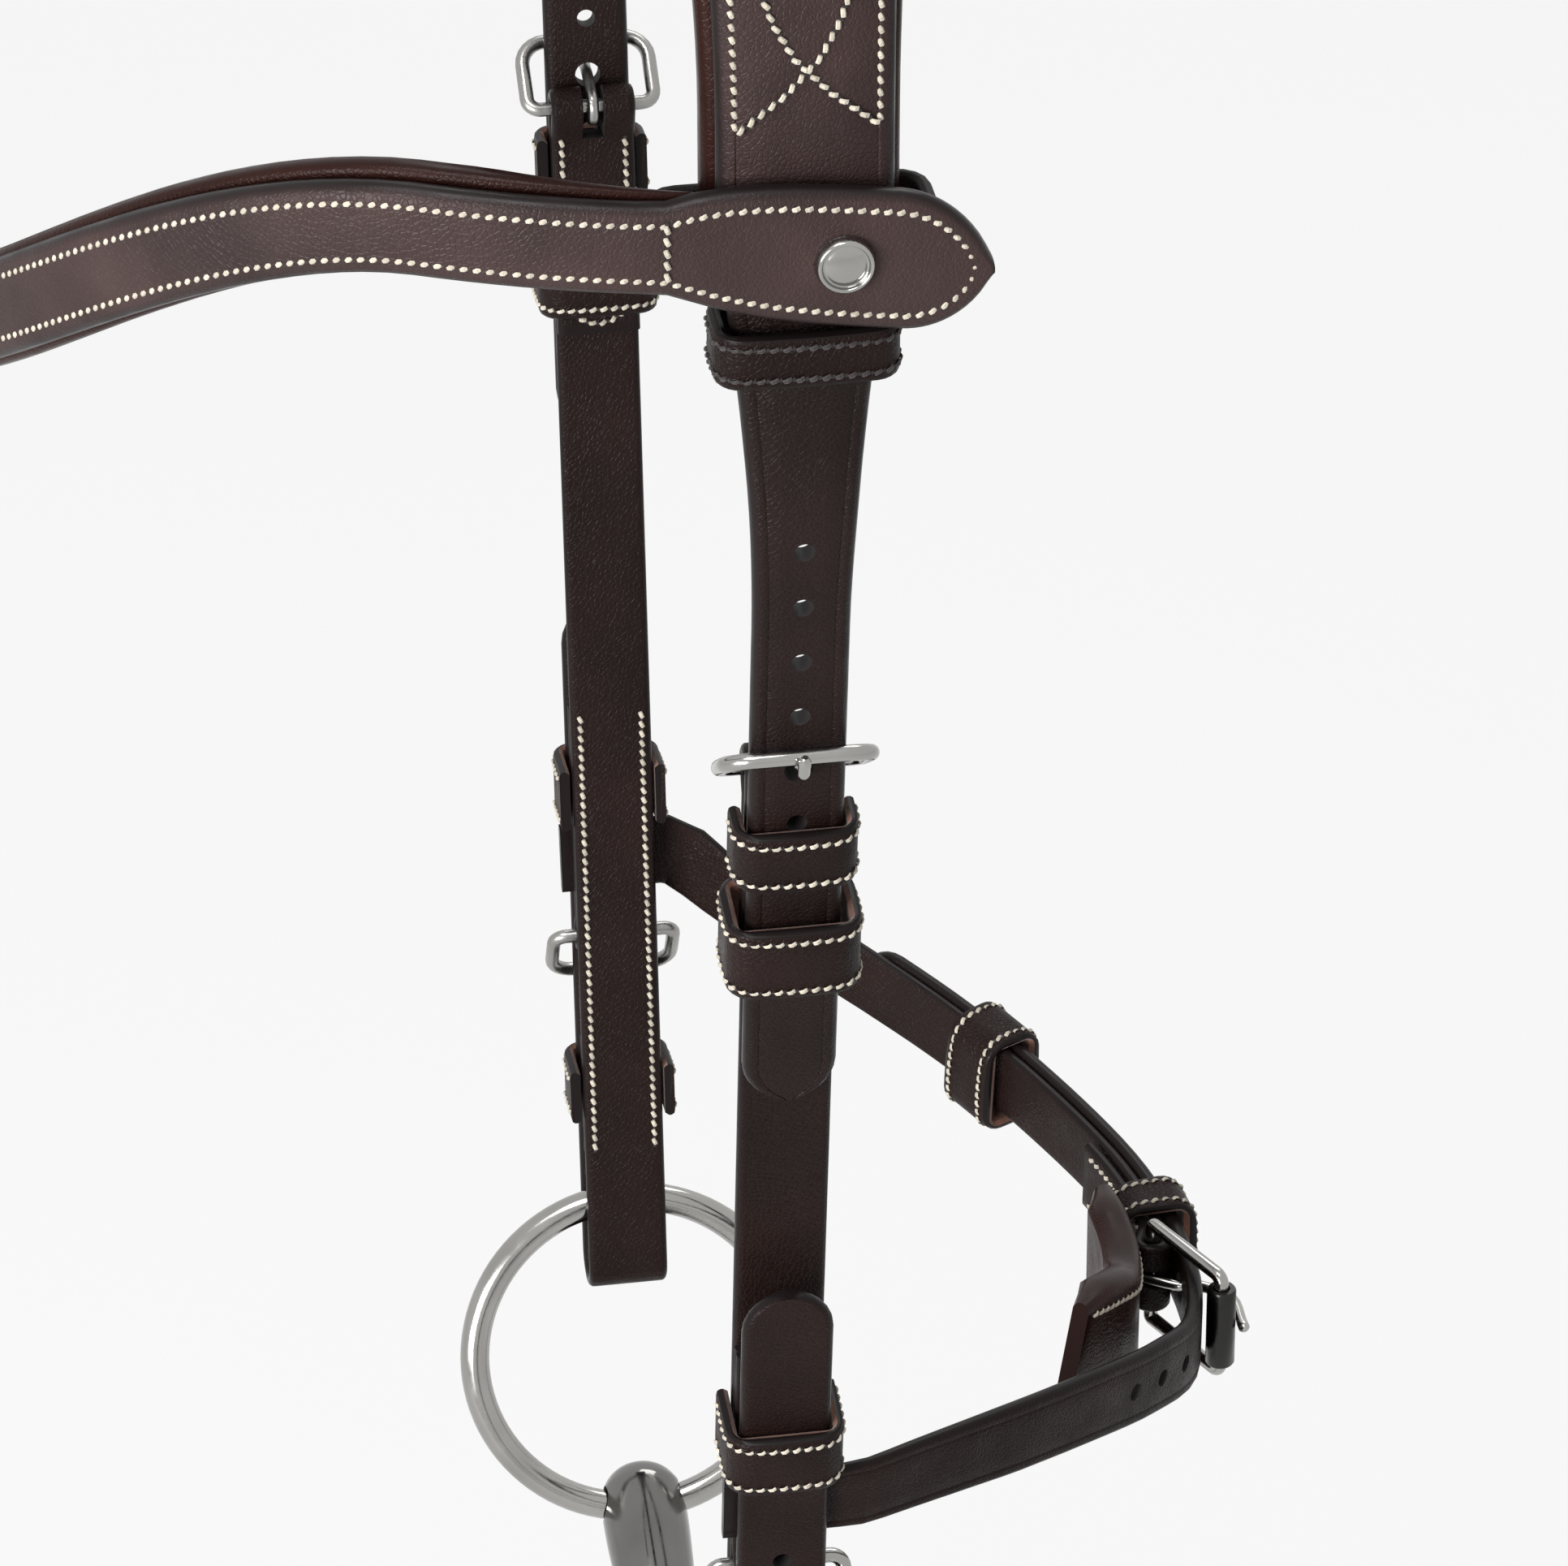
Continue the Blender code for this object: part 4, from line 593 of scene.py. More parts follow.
def jaw_frame(w):
    """Place, along, downward and outward axes at w along the jaw strap."""
    inside = min(max(w, 0.0), JAW_TOTAL)
    k = 0
    while k < len(JAW_LENGTHS) - 2 and JAW_LENGTHS[k + 1] < inside:
        k += 1
    share = (inside - JAW_LENGTHS[k]) / (JAW_LENGTHS[k + 1] - JAW_LENGTHS[k])
    place = JAW_POINTS[k].lerp(JAW_POINTS[k + 1], share)

    def tangent(j):
        low = JAW_POINTS[max(0, j - 1)]
        high = JAW_POINTS[min(len(JAW_POINTS) - 1, j + 1)]
        return (high - low).normalized()

    along = tangent(k).lerp(tangent(k + 1), share).normalized()
    place = place + along * (w - inside)
    edge = min(inside, JAW_TOTAL - inside)
    blend = min(1.0, max(0.0, (edge - JAW_TAB_BACK) / BLEND_STRETCH))
    side = -1 if inside < JAW_TOTAL / 2 else 1
    lean = cheek_axis(side, JAW_AT)[0]
    down = lean.lerp(Vector((0, 0, -1)), blend)
    down = (down - along * down.dot(along)).normalized()
    outward = down.cross(along) * -1
    centre = Vector((0, JAW_LOOP_LENGTH / 3, place.z))
    if outward.dot(place - centre) < 0:
        outward = -outward
    return place, along, down, outward


def jaw_point(w, q, n):
    """World point at w along the jaw strap, q below its middle and n outside it."""
    place, _, down, outward = jaw_frame(w)
    return place + down * q + outward * n


def spread(start, end, step):
    """Places from start to end, about step apart."""
    count = max(1, round(abs(end - start) / step))
    return [mixed(start, end, k / count) for k in range(count + 1)]


JAW_BILLET_TIP = JAW_HEEL - JAW_BILLET_OVERLAP
JAW_KEEPER_AT = JAW_HEEL - JAW_KEEPER_BACK
JAW_RUNNER_AT = JAW_HEEL - JAW_RUNNER_BACK
JAW_HEEL_IN = -HALF_GAP - JAW_THICK - WIRE_RADIUS - BAR_FIT
JAW_PRONG_AT = JAW_HEEL + JAW_FRAME_LENGTH * JAW_PRONG_SHARE
JAW_STACK_INNER = -HALF_GAP - 2 * JAW_THICK - 3 * GAP


# Meshes

def skin(rings, closed=False):
    """Join rings of points into a tube: capped, or closed on itself."""
    count = len(rings[0])
    verts = [point for ring in rings for point in ring]
    faces = []
    spans = len(rings) if closed else len(rings) - 1
    for row in range(spans):
        low = row * count
        high = (row + 1) % len(rings) * count
        for k in range(count):
            nxt = (k + 1) % count
            faces.append((low + k, low + nxt, high + nxt, high + k))
    if not closed:
        faces.append(tuple(range(count - 1, -1, -1)))
        faces.append(tuple(range((len(rings) - 1) * count, len(rings) * count)))
    return verts, faces


def joined(shapes):
    """Several (verts, faces) shapes as one."""
    verts = []
    faces = []
    for shape_verts, shape_faces in shapes:
        base = len(verts)
        verts += shape_verts
        faces += [tuple(base + k for k in face) for face in shape_faces]
    return verts, faces


def make(name, verts, faces, looks, values=None, slots=None):
    """One object; values are numbers per point that its finish reads, slots a finish per face."""
    mesh = bpy.data.meshes.new(name)
    mesh.from_pydata([tuple(v) for v in verts], [], faces)
    for look in looks:
        mesh.materials.append(look)
    for label, numbers in (values or {}).items():
        layer = mesh.attributes.new(label, "FLOAT", "POINT")
        layer.data.foreach_set("value", numbers)
    if slots:
        mesh.polygons.foreach_set("material_index", slots)
    work = bmesh.new()
    work.from_mesh(mesh)
    bmesh.ops.recalc_face_normals(work, faces=work.faces)
    work.to_mesh(mesh)
    work.free()
    mesh.shade_smooth()
    mesh.set_sharp_from_angle(angle=SMOOTH_ANGLE)
    item = bpy.data.objects.new(name, mesh)
    bpy.context.scene.collection.objects.link(item)
    return item


def fit(item, body, node, *more_nodes):
    """The piece moves with its body and stands for its nodes, which it hides."""
    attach(item, body)
    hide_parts(node, *more_nodes)
    return item


def trim(item, body):
    """A piece sewn or pressed on: it moves with the body."""
    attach(item, body)
    return item


def carve(item, shapes, look):
    """Cut closed shapes out of a piece; the walls of the cuts take the given finish."""
    tool = make(item.name + "_cut", *joined(shapes), [look])
    change = item.modifiers.new("cuts", "BOOLEAN")
    change.operation = "DIFFERENCE"
    change.solver = "EXACT"
    change.material_mode = "TRANSFER"
    change.object = tool
    graph = bpy.context.evaluated_depsgraph_get()
    mesh = bpy.data.meshes.new_from_object(item.evaluated_get(graph))
    item.modifiers.clear()
    item.data = mesh
    mesh.set_sharp_from_angle(angle=SMOOTH_ANGLE)
    bpy.data.objects.remove(tool, do_unlink=True)


def strap_section(width, low, high, crown=0.0, crease=0.0):
    """Across, through and edge values round a strap with burnished, rounded edges."""
    half = width / 2
    mid = (low + high) / 2
    rise = (high - low) / 2
    round_in = min(rise * EDGE_ROUND_SHARE, half / 2)
    flat = half - round_in
    rim = []
    for turn in EDGE_TURNS:
        angle = math.radians(turn)
        rim.append((flat + round_in * math.cos(angle), rise * math.sin(angle),
                    math.cos(angle) ** EDGE_FADE_POWER))
    inset = min(CREASE_INSET, flat / 3)
    groove = min(CREASE_WIDTH, flat / 6)
    top = [(flat - inset + groove, 0.0), (flat - inset, -crease), (flat - inset - groove, 0.0),
           (flat * FACE_SHARE, 0.0), (0.0, 0.0)]
    top += [(-q, n) for q, n in reversed(top[:-1])]
    points = [(flat * share, low, 0.0) for share in BACK_SHARES]
    points += [(q, mid + n, edge) for q, n, edge in rim]
    points += [(q, high + n + crown * (1 - (q / half) ** 2), 0.0 if n == 0 else CREASE_PAINT)
               for q, n in top]
    points += [(-q, mid - n, edge) for q, n, edge in rim]
    return points


def pad_section(width, low, high):
    """A stuffed pad: flat against its strap, full and round on its free side."""
    half = width / 2
    points = []
    for k in range(PAD_POINTS):
        angle = math.tau * k / PAD_POINTS
        q = math.copysign(abs(math.cos(angle)) ** PAD_SIDE_POWER, math.cos(angle)) * half
        up = math.sin(angle)
        n = high
        if up <= PAD_SEAT_FROM:
            bulge = math.copysign(abs(up) ** PAD_BACK_POWER, up) + PAD_BACK_LIFT
            n = min(high, max(low, mixed(low, high, bulge / PAD_BACK_RUN)))
        points.append((q, n, abs(math.cos(angle)) ** PAD_EDGE_POWER))
    return points


def strap(name, stations, sections, look):
    """Sweep sections along stations (place, across, outward) into one strap."""
    rings = []
    edges = []
    along = []
    travelled = 0.0
    for k, ((place, across, outward), section) in enumerate(zip(stations, sections)):
        if k:
            travelled += (place - stations[k - 1][0]).length
        rings.append([place + across * q + outward * n for q, n, edge in section])
        edges += [1.0 if k in (0, len(stations) - 1) else edge for q, n, edge in section]
        along += [travelled] * len(section)
    return make(name, *skin(rings), [look], {"edge": edges, "along": along})


def tube(points, radii, side_axis, closed=False, steps=14):
    """Round bar through points that lie in the plane square to side_axis."""
    rings = []
    last = len(points) - 1
    for k, point in enumerate(points):
        before = points[k - 1] if (k or closed) else points[0]
        after = points[(k + 1) % len(points)] if (k < last or closed) else points[last]
        along = (after - before).normalized()
        up = along.cross(side_axis).normalized()
        rings.append([point + side_axis * a + up * b for a, b in circle(steps, radii[k])])
    return skin(rings, closed)


def turned(profile, centre, axis, across, steps=40):
    """Revolve (along, radius) points round an axis."""
    other = axis.cross(across)
    return skin([[centre + axis * along + across * a + other * b for a, b in circle(steps, radius)]
                 for along, radius in profile])


def peg(start, end, radius, across, steps=20):
    """A plain cylinder, for cutting holes."""
    axis = (end - start).normalized()
    other = axis.cross(across).normalized()
    across = other.cross(axis)
    ring = [across * a + other * b for a, b in circle(steps, radius)]
    return skin([[start + offset for offset in ring], [end + offset for offset in ring]])


def smooth_line(points, steps):
    """Smooth curve through pairs of numbers, with so many steps in each stretch."""
    fine = []
    for k in range(len(points) - 1):
        around = zip(points[max(0, k - 1)], points[k], points[k + 1],
                     points[min(len(points) - 1, k + 2)])
        pairs = list(around)
        for step in range(steps):
            fine.append(tuple(hermite(start, end, (end - before) / 2, (after - start) / 2,
                                      step / steps) for before, start, end, after in pairs))
    return fine + [points[-1]]


def eased(profile, steps=5):
    """Smooth line through (along, radius) points of a turned profile."""
    return [(along, max(0.0, radius)) for along, radius in smooth_line(profile, steps)]


def heading(line, k):
    """Direction of a line of pairs at its k-th point."""
    before = line[max(0, k - 1)]
    after = line[min(len(line) - 1, k + 1)]
    return Vector((after[0] - before[0], after[1] - before[1])).normalized()


def end_ease(k, last, start, step):
    """Share of the full stuffing at the k-th place, from the nearer end inwards."""
    return min(1.0, start + step * min(k, last - k))


# Thread

def row_on(stations, across_at, height_at, first, last):
    """Line over a strap's face: (point, normal) at each station."""
    return [(place + across * across_at(k) + outward * height_at(k), outward)
            for k, (place, across, outward) in enumerate(stations[first:last], first)]


def marched(row, pitch):
    """Evenly spaced (point, direction, normal) along a line."""
    found = []
    carry = pitch / 2
    for (start, normal), (end, next_normal) in zip(row, row[1:]):
        step = end - start
        reach = step.length
        if reach < TINY:
            continue
        while carry <= reach:
            share = carry / reach
            found.append((start + step * share, step / reach,
                          normal.lerp(next_normal, share).normalized()))
            carry += pitch
        carry -= reach
    return found


def prick_shade(point, along, across, normal):
    """Dark disc on the leather between two stitches: painted shade of the stitch hole."""
    return skin([[point + along * (a * PRICK_ALONG) + across * (b * PRICK_ACROSS)
                  + normal * (drop - THREAD_LIFT) for a, b in circle(THREAD_SIDES, 1.0)]
                 for drop in (-PRICK_DEPTH, PRICK_RISE)])


def sew(name, rows, body, look):
    """Saddle stitches along rows: short slanted threads, each followed by a dark disc as painted
    shade of its hole.
    """
    settings = bpy.context.scene.bridle_looks
    pitch = settings.stitch_pitch
    length = pitch * STITCH_LENGTH_SHARE
    radius = settings.thread_thickness / 2
    threads = []
    tones = []
    prick_shades = []
    chance = random.Random(name)
    for row in rows:
        for point, along, normal in marched(row, pitch):
            side = normal.cross(along)
            turn = STITCH_SLANT + chance.uniform(-STITCH_WANDER, STITCH_WANDER)
            aim = along * math.cos(turn) + side * math.sin(turn)
            across = normal.cross(aim)
            rings = []
            for share, lift, size in STITCH_SHAPE_SHARES:
                middle = point + aim * (length * share) + normal * (radius * lift)
                rings.append([middle + across * a + normal * (b * STITCH_FLATNESS)
                              for a, b in circle(THREAD_SIDES, radius * size)])
            threads.append(skin(rings))
            tones += [chance.random()] * (THREAD_SIDES * len(STITCH_SHAPE_SHARES))
            prick_shades.append(prick_shade(point + along * (pitch / 2), along, side, normal))
    trim(make(name + "_prick_shades", *joined(prick_shades), [finishes()["hole"]]), body)
    return trim(make(name, *joined(threads), [look], {"tone": tones}), body)


# Finishes

def node_tree(look):
    """Nodes and links of a new finish."""
    look.use_nodes = True
    return look.node_tree.nodes, look.node_tree.links


def shade(name, colour, roughness, metallic=0.0):
    """A new finish and its shader node."""
    look = bpy.data.materials.new(name)
    nodes, links = node_tree(look)
    shader = nodes["Principled BSDF"]
    shader.inputs["Base Color"].default_value = (*colour, 1.0)
    shader.inputs["Roughness"].default_value = roughness
    shader.inputs["Metallic"].default_value = metallic
    return look, nodes, links, shader


def noise(nodes, links, scale, detail=2.0, roughness=0.5):
    """Noise fixed to the piece itself, so that it moves with it."""
    place = nodes.new("ShaderNodeTexCoord")
    texture = nodes.new("ShaderNodeTexNoise")
    texture.inputs["Scale"].default_value = scale
    texture.inputs["Detail"].default_value = detail
    texture.inputs["Roughness"].default_value = roughness
    links.new(place.outputs["Object"], texture.inputs["Vector"])
    return texture.outputs["Fac"]


def ramp(nodes, links, source, start, end, low=0.0, high=1.0):
    """Numbers between start and end of the source mapped to low and high."""
    change = nodes.new("ShaderNodeMapRange")
    change.inputs["From Min"].default_value = start
    change.inputs["From Max"].default_value = end
    change.inputs["To Min"].default_value = low
    change.inputs["To Max"].default_value = high
    links.new(source, change.inputs["Value"])
    return change.outputs["Result"]


def blend_colour(nodes, links, share, first, second):
    """Mix two colours; each is a colour or another mix."""
    mix = nodes.new("ShaderNodeMix")
    mix.data_type = "RGBA"
    links.new(share, mix.inputs[MIX_SHARE])
    for socket, colour in ((mix.inputs[MIX_FIRST], first), (mix.inputs[MIX_SECOND], second)):
        if isinstance(colour, bpy.types.NodeSocket):
            links.new(colour, socket)
        else:
            socket.default_value = (*colour, 1.0)
    return mix.outputs[MIX_COLOUR]


def attribute(nodes, name):
    """A number that the mesh holds for each point."""
    found = nodes.new("ShaderNodeAttribute")
    found.attribute_name = name
    return found.outputs["Fac"]


def add(nodes, links, operation, first, second):
    """Sum, product or other mix of two numbers or sockets."""
    maths = nodes.new("ShaderNodeMath")
    maths.operation = operation
    for socket, value in zip(maths.inputs, (first, second)):
        if isinstance(value, bpy.types.NodeSocket):
            links.new(value, socket)
        else:
            socket.default_value = value
    return maths.outputs[0]


def raised(nodes, links, shader, height, distance):
    """Fine relief of the surface."""
    bump = nodes.new("ShaderNodeBump")
    bump.inputs["Strength"].default_value = 1.0
    bump.inputs["Distance"].default_value = distance
    links.new(height, bump.inputs["Height"])
    links.new(bump.outputs["Normal"], shader.inputs["Normal"])


def dimmed(colour, share):
    """The colour times a share."""
    return tuple(part * share for part in colour)


def dyed(nodes, links, dye, colour):
    """Darker and lighter patches of one colour."""
    return blend_colour(nodes, links, dye, dimmed(colour, DYE_DARK), dimmed(colour, DYE_LIGHT))


def bridle_leather(name, colour, edge_colour, roughness, grain, grain_depth, gloss_level,
                   top_colour=None):
    """Waxed leather: fine grain, uneven dye, and edges painted near black. A top colour, where
    given, lightens the upper part as painted sheen.
    """
    look, nodes, links, shader = shade(name, colour, roughness)
    place = nodes.new("ShaderNodeTexCoord")
    cells = nodes.new("ShaderNodeTexVoronoi")
    cells.feature = "DISTANCE_TO_EDGE"
    cells.inputs["Scale"].default_value = grain
    links.new(place.outputs["Object"], cells.inputs["Vector"])
    pores = ramp(nodes, links, cells.outputs["Distance"], 0.0, PORE_WIDTH)
    folds = noise(nodes, links, grain / FOLD_COARSER, FOLD_DETAIL)
    dye = ramp(nodes, links, noise(nodes, links, *DYE_NOISE), *DYE_SPAN)
    body = dyed(nodes, links, dye, colour)
    # Upper part in the lighter, greyer colour: painted sheen on waxed leather
    if top_colour is not None:
        apart = nodes.new("ShaderNodeSeparateXYZ")
        links.new(place.outputs["Object"], apart.inputs[0])
        risen = ramp(nodes, links, apart.outputs["Z"], SHEEN_AND_WAX_FROM, SHEEN_AND_WAX_TO)
        body = blend_colour(nodes, links, risen, body, dyed(nodes, links, dye, top_colour))
    shader.inputs["Specular IOR Level"].default_value = gloss_level
    edge = ramp(nodes, links, attribute(nodes, "edge"), *PAINT_SPAN)
    links.new(blend_colour(nodes, links, edge, body, edge_colour), shader.inputs["Base Color"])
    gloss = ramp(nodes, links, noise(nodes, links, *GLOSS_NOISE), *GLOSS_SPAN,
                 roughness - GLOSS_DOWN, roughness + GLOSS_UP)
    polished = add(nodes, links, "MULTIPLY", edge, -EDGE_POLISH)
    links.new(add(nodes, links, "ADD", gloss, polished), shader.inputs["Roughness"])
    calm = add(nodes, links, "SUBTRACT", 1.0, edge)
    relief = add(nodes, links, "ADD", add(nodes, links, "MULTIPLY", pores, PORE_SHARE), folds)
    raised(nodes, links, shader, add(nodes, links, "MULTIPLY", relief, calm), grain_depth)
    return look


def suede_lining(name, colour):
    """Raw tan side of the keepers' leather: matt, with loose fibres."""
    look, nodes, links, shader = shade(name, colour, SUEDE_ROUGHNESS)
    patches = ramp(nodes, links, noise(nodes, links, *SUEDE_NOISE), *SUEDE_SPAN)
    links.new(blend_colour(nodes, links, patches, dimmed(colour, SUEDE_DARK), colour),
              shader.inputs["Base Color"])
    raised(nodes, links, shader, noise(nodes, links, *FIBRE_NOISE), FIBRE_DEPTH)
    shader.inputs["Sheen Weight"].default_value = SUEDE_SHEEN
    return look


def waxed_thread(name, colour):
    """Thread; each stitch is a little lighter or darker than the next."""
    look, nodes, links, shader = shade(name, colour, THREAD_ROUGHNESS)
    tone = attribute(nodes, "tone")
    links.new(blend_colour(nodes, links, tone, dimmed(colour, THREAD_DARK), colour),
              shader.inputs["Base Color"])
    raised(nodes, links, shader, noise(nodes, links, *STRAND_NOISE), STRAND_DEPTH)
    shader.inputs["Sheen Weight"].default_value = THREAD_SHEEN
    return look


def stainless(name, colour, roughness, scratches):
    """Polished steel with faint handling marks."""
    look, nodes, links, shader = shade(name, colour, roughness, 1.0)
    marks = noise(nodes, links, *MARK_NOISE)
    links.new(ramp(nodes, links, marks, *MARK_SPAN, roughness - scratches,
                   roughness + scratches * MARK_DULLER), shader.inputs["Roughness"])
    smudge = ramp(nodes, links, noise(nodes, links, *SMUDGE_NOISE), *SMUDGE_SPAN)
    links.new(blend_colour(nodes, links, smudge, colour, dimmed(colour, SMUDGE_DARK)),
              shader.inputs["Base Color"])
    raised(nodes, links, shader, marks, MARK_DEPTH)
    return look


LOOKS = {}


def finishes():
    """All finishes, made once from the colours in the sidebar."""
    if LOOKS:
        return LOOKS
    settings = bpy.context.scene.bridle_looks
    leather = tuple(settings.leather_colour)
    edge = tuple(settings.edge_colour)
    padding = tuple(settings.padding_colour)
    # Lighter, greyer colour of the browband and the headpiece's top: painted sheen on waxed leather
    sheen_and_wax = tuple(part * share for part, share in zip(leather, SHEEN_AND_WAX_SHARES))
    colours = {"leather": leather, "sheen_and_wax": sheen_and_wax, "headpiece": leather,
               "inner": dimmed(leather, INNER_SHARE), "padding": padding}
    for key, name, roughness, grain, depth, gloss in LEATHERS:
        rim = dimmed(padding, PAD_RIM_SHARE) if key == "padding" else edge
        LOOKS[key] = bridle_leather(name, colours[key], rim, roughness, grain, depth, gloss,
                                    sheen_and_wax if key == "headpiece" else None)
    # Dark finish of cut hole walls; on the discs between stitches it is painted shade
    LOOKS["hole"] = shade("hole_wall", edge, HOLE_ROUGHNESS)[0]
    LOOKS["lining"] = suede_lining("tan_lining", tuple(settings.lining_colour))
    LOOKS["thread"] = waxed_thread("cream_thread", tuple(settings.thread_colour))
    LOOKS["dark_thread"] = waxed_thread("brown_thread", dimmed(leather, DARK_THREAD_SHARE))
    for key, name, share, roughness, scratches in STEELS:
        LOOKS[key] = stainless(name, dimmed(settings.steel_colour, share), roughness, scratches)
    return LOOKS


# Headpiece and browband

ACROSS = Vector((0, 1, 0))
UP = Vector((0, 0, 1))


def flipped(v):
    """The same vector on the other side of the horse."""
    return Vector((-v.x, v.y, v.z))


def both_sides(half):
    """Stations of the near half, then their mirror image back down the far side."""
    mirror = [(flipped(place), flipped(across), flipped(outward), facts)
              for place, across, outward, facts in reversed(half)]
    return half + mirror[1:]


def tip_run(end, width, towards):
    """Fine places and widths of a rounded strap tip, from the full width outwards."""
    half = width / 2
    return [(end - towards * half * (1 - math.sin(math.radians(turn))),
             width * math.cos(math.radians(turn))) for turn in TIP_TURNS]


def head_half():
    """Near half of the headpiece, billet tip to poll: facts are its width and how raised it is."""
    rows = []
    for s, width in reversed(tip_run(BILLET_END, BILLET_WIDTH, 1)):
        place, _, outward = cheek_frame(s)
        rows.append((place, ACROSS, outward, (width, 0.0)))
    for s in spread(BILLET_END - BILLET_WIDTH / 2, -ARCH_BASE, FINE_STEP)[1:]:
        place, _, outward = cheek_frame(s)
        width = head_width(s)
        raised_share = (width - BILLET_WIDTH) / (HEAD_WIDTH - BILLET_WIDTH)
        rows.append((place, ACROSS, outward, (width, raised_share)))
    base = CROSSING_Z + ARCH_BASE
    rise = APEX_Z - base
    for k in range(1, ARCH_FINE + 1):
        angle = math.pi / 2 * k / ARCH_FINE
        place = Vector((CHEEK_OUT * math.cos(angle), 0, base + rise * math.sin(angle)))
        outward = Vector((rise * math.cos(angle), 0, CHEEK_OUT * math.sin(angle))).normalized()
        width = mixed(HEAD_WIDTH, CROWN_WIDTH, crown_share(place))
        rows.append((place, ACROSS, outward, (width, 1.0)))
    return rows


def punched(side, prong_at, above, below, low, high):
    """Drills for a billet's row of holes; the prong's own hole is wider."""
    drills = []
    for k in range(-above, below + 1):
        s = prong_at + k * HOLE_PITCH
        drills.append(peg(cheek_point(side, s, 0, low), cheek_point(side, s, 0, high),
                          PRONG_HOLE_RADIUS if k == 0 else HOLE_RADIUS, ACROSS))
    return drills


def headpiece_strap():
    """The strap over the poll, with its two holed billets."""
    looks = finishes()
    rows = both_sides(head_half())
    stations = [row[:3] for row in rows]
    sections = []
    tops = []
    for *_, (width, raised_share) in rows:
        top = HALF_GAP + mixed(BILLET_THICK, HEAD_THICK, raised_share)
        tops.append(top)
        sections.append(strap_section(width, HALF_GAP, top, HEAD_CROWN * raised_share,
                                      CREASE_DEPTH))
    item = strap("headpiece_strap", stations, sections, looks["headpiece"])
    drills = []
    for side in (1, -1):
        drills += punched(side, PRONG_HOLE_AT, HOLES_ABOVE, HOLES_BELOW, -HEAD_THICK,
                          2 * HEAD_THICK)
    carve(item, drills, looks["hole"])
    fit(item, "bridle", "headpiece")
    headpiece_stitching(rows, stations, tops)


def headpiece_stitching(rows, stations, tops):
    """A seam along each edge, and between them two wavy rows that cross."""
    first = next(k for k, row in enumerate(rows) if row[0].z > HEAD_SEAM_Z)
    last = len(rows) - first
    walked = [0.0]
    for k in range(first + 1, last):
        walked.append(walked[-1] + (rows[k][0] - rows[k - 1][0]).length)

    def seam(k):
        return rows[k][3][0] / 2 - HEAD_SEAM_INSET

    def wave(k):
        done = walked[k - first]
        from_end = min(done, walked[-1] - done)
        if from_end < WAVE_CORNER:
            return seam(k) * (1 - from_end / WAVE_CORNER)
        share = (done - WAVE_CORNER) / (walked[-1] - 2 * WAVE_CORNER)
        return -math.sin(math.pi * WAVE_COUNT * share) * WAVE_REACH

    lines = []
    for sign in (1, -1):
        lines.append(row_on(stations, lambda k, sign=sign: sign * seam(k),
                            lambda k: tops[k] + THREAD_LIFT, first, last))
        lines.append(row_on(stations, lambda k, sign=sign: sign * wave(k),
                            lambda k: tops[k] + HEAD_CROWN + THREAD_LIFT, first, last))
    sew("headpiece_stitching", lines, "bridle", finishes()["thread"])


def headpiece_padding():
    """Stuffed pad sewn under the strap."""
    looks = finishes()
    rows = both_sides([row for row in head_half() if row[0].z > CROSSING_Z - PAD_END_AT])
    sections = []
    for k, (place, *_) in enumerate(rows):
        ease = end_ease(k, len(rows) - 1, *PAD_EASE)
        width = mixed(PAD_WIDTH, PAD_CROWN_WIDTH, crown_share(place))
        sections.append(pad_section(width * mixed(PAD_END_SHARE, 1.0, ease),
                                    -HALF_GAP - PAD_THICK * ease, -HALF_GAP))
    item = strap("headpiece_padding", [row[:3] for row in rows], sections, looks["padding"])
    fit(item, "bridle", "headpiece_pad")


def loop_line(half, low, high, corner, bulge, closed):
    """Section of a loop, with points on its flats so that its front and back can bulge."""
    spots = [(half - corner, high - corner, 0), (-half + corner, high - corner, 90)]
    points = [(half, low)]
    if closed:
        spots += [(-half + corner, low + corner, 180), (half - corner, low + corner, -90)]
        points = []
    for k, (q, n, start) in enumerate(spots):
        for step in LOOP_TURNS:
            turn = math.radians(start + step)
            points.append((q + corner * math.cos(turn), n + corner * math.sin(turn)))
        if not closed and k:
            break
        end_q, end_n, end_turn = spots[(k + 1) % len(spots)]
        turn = math.radians(end_turn)
        after = (end_q + corner * math.cos(turn), end_n + corner * math.sin(turn))
        before = points[-1]
        points += [(mixed(before[0], after[0], share), mixed(before[1], after[1], share))
                   for share in FLAT_SHARES]
    if not closed:
        points.append((-half, low))
    middle = (low + high) / 2
    return [(q, n + math.copysign(bulge, n - middle) * (1 - (q / half) ** 2)) for q, n in points]


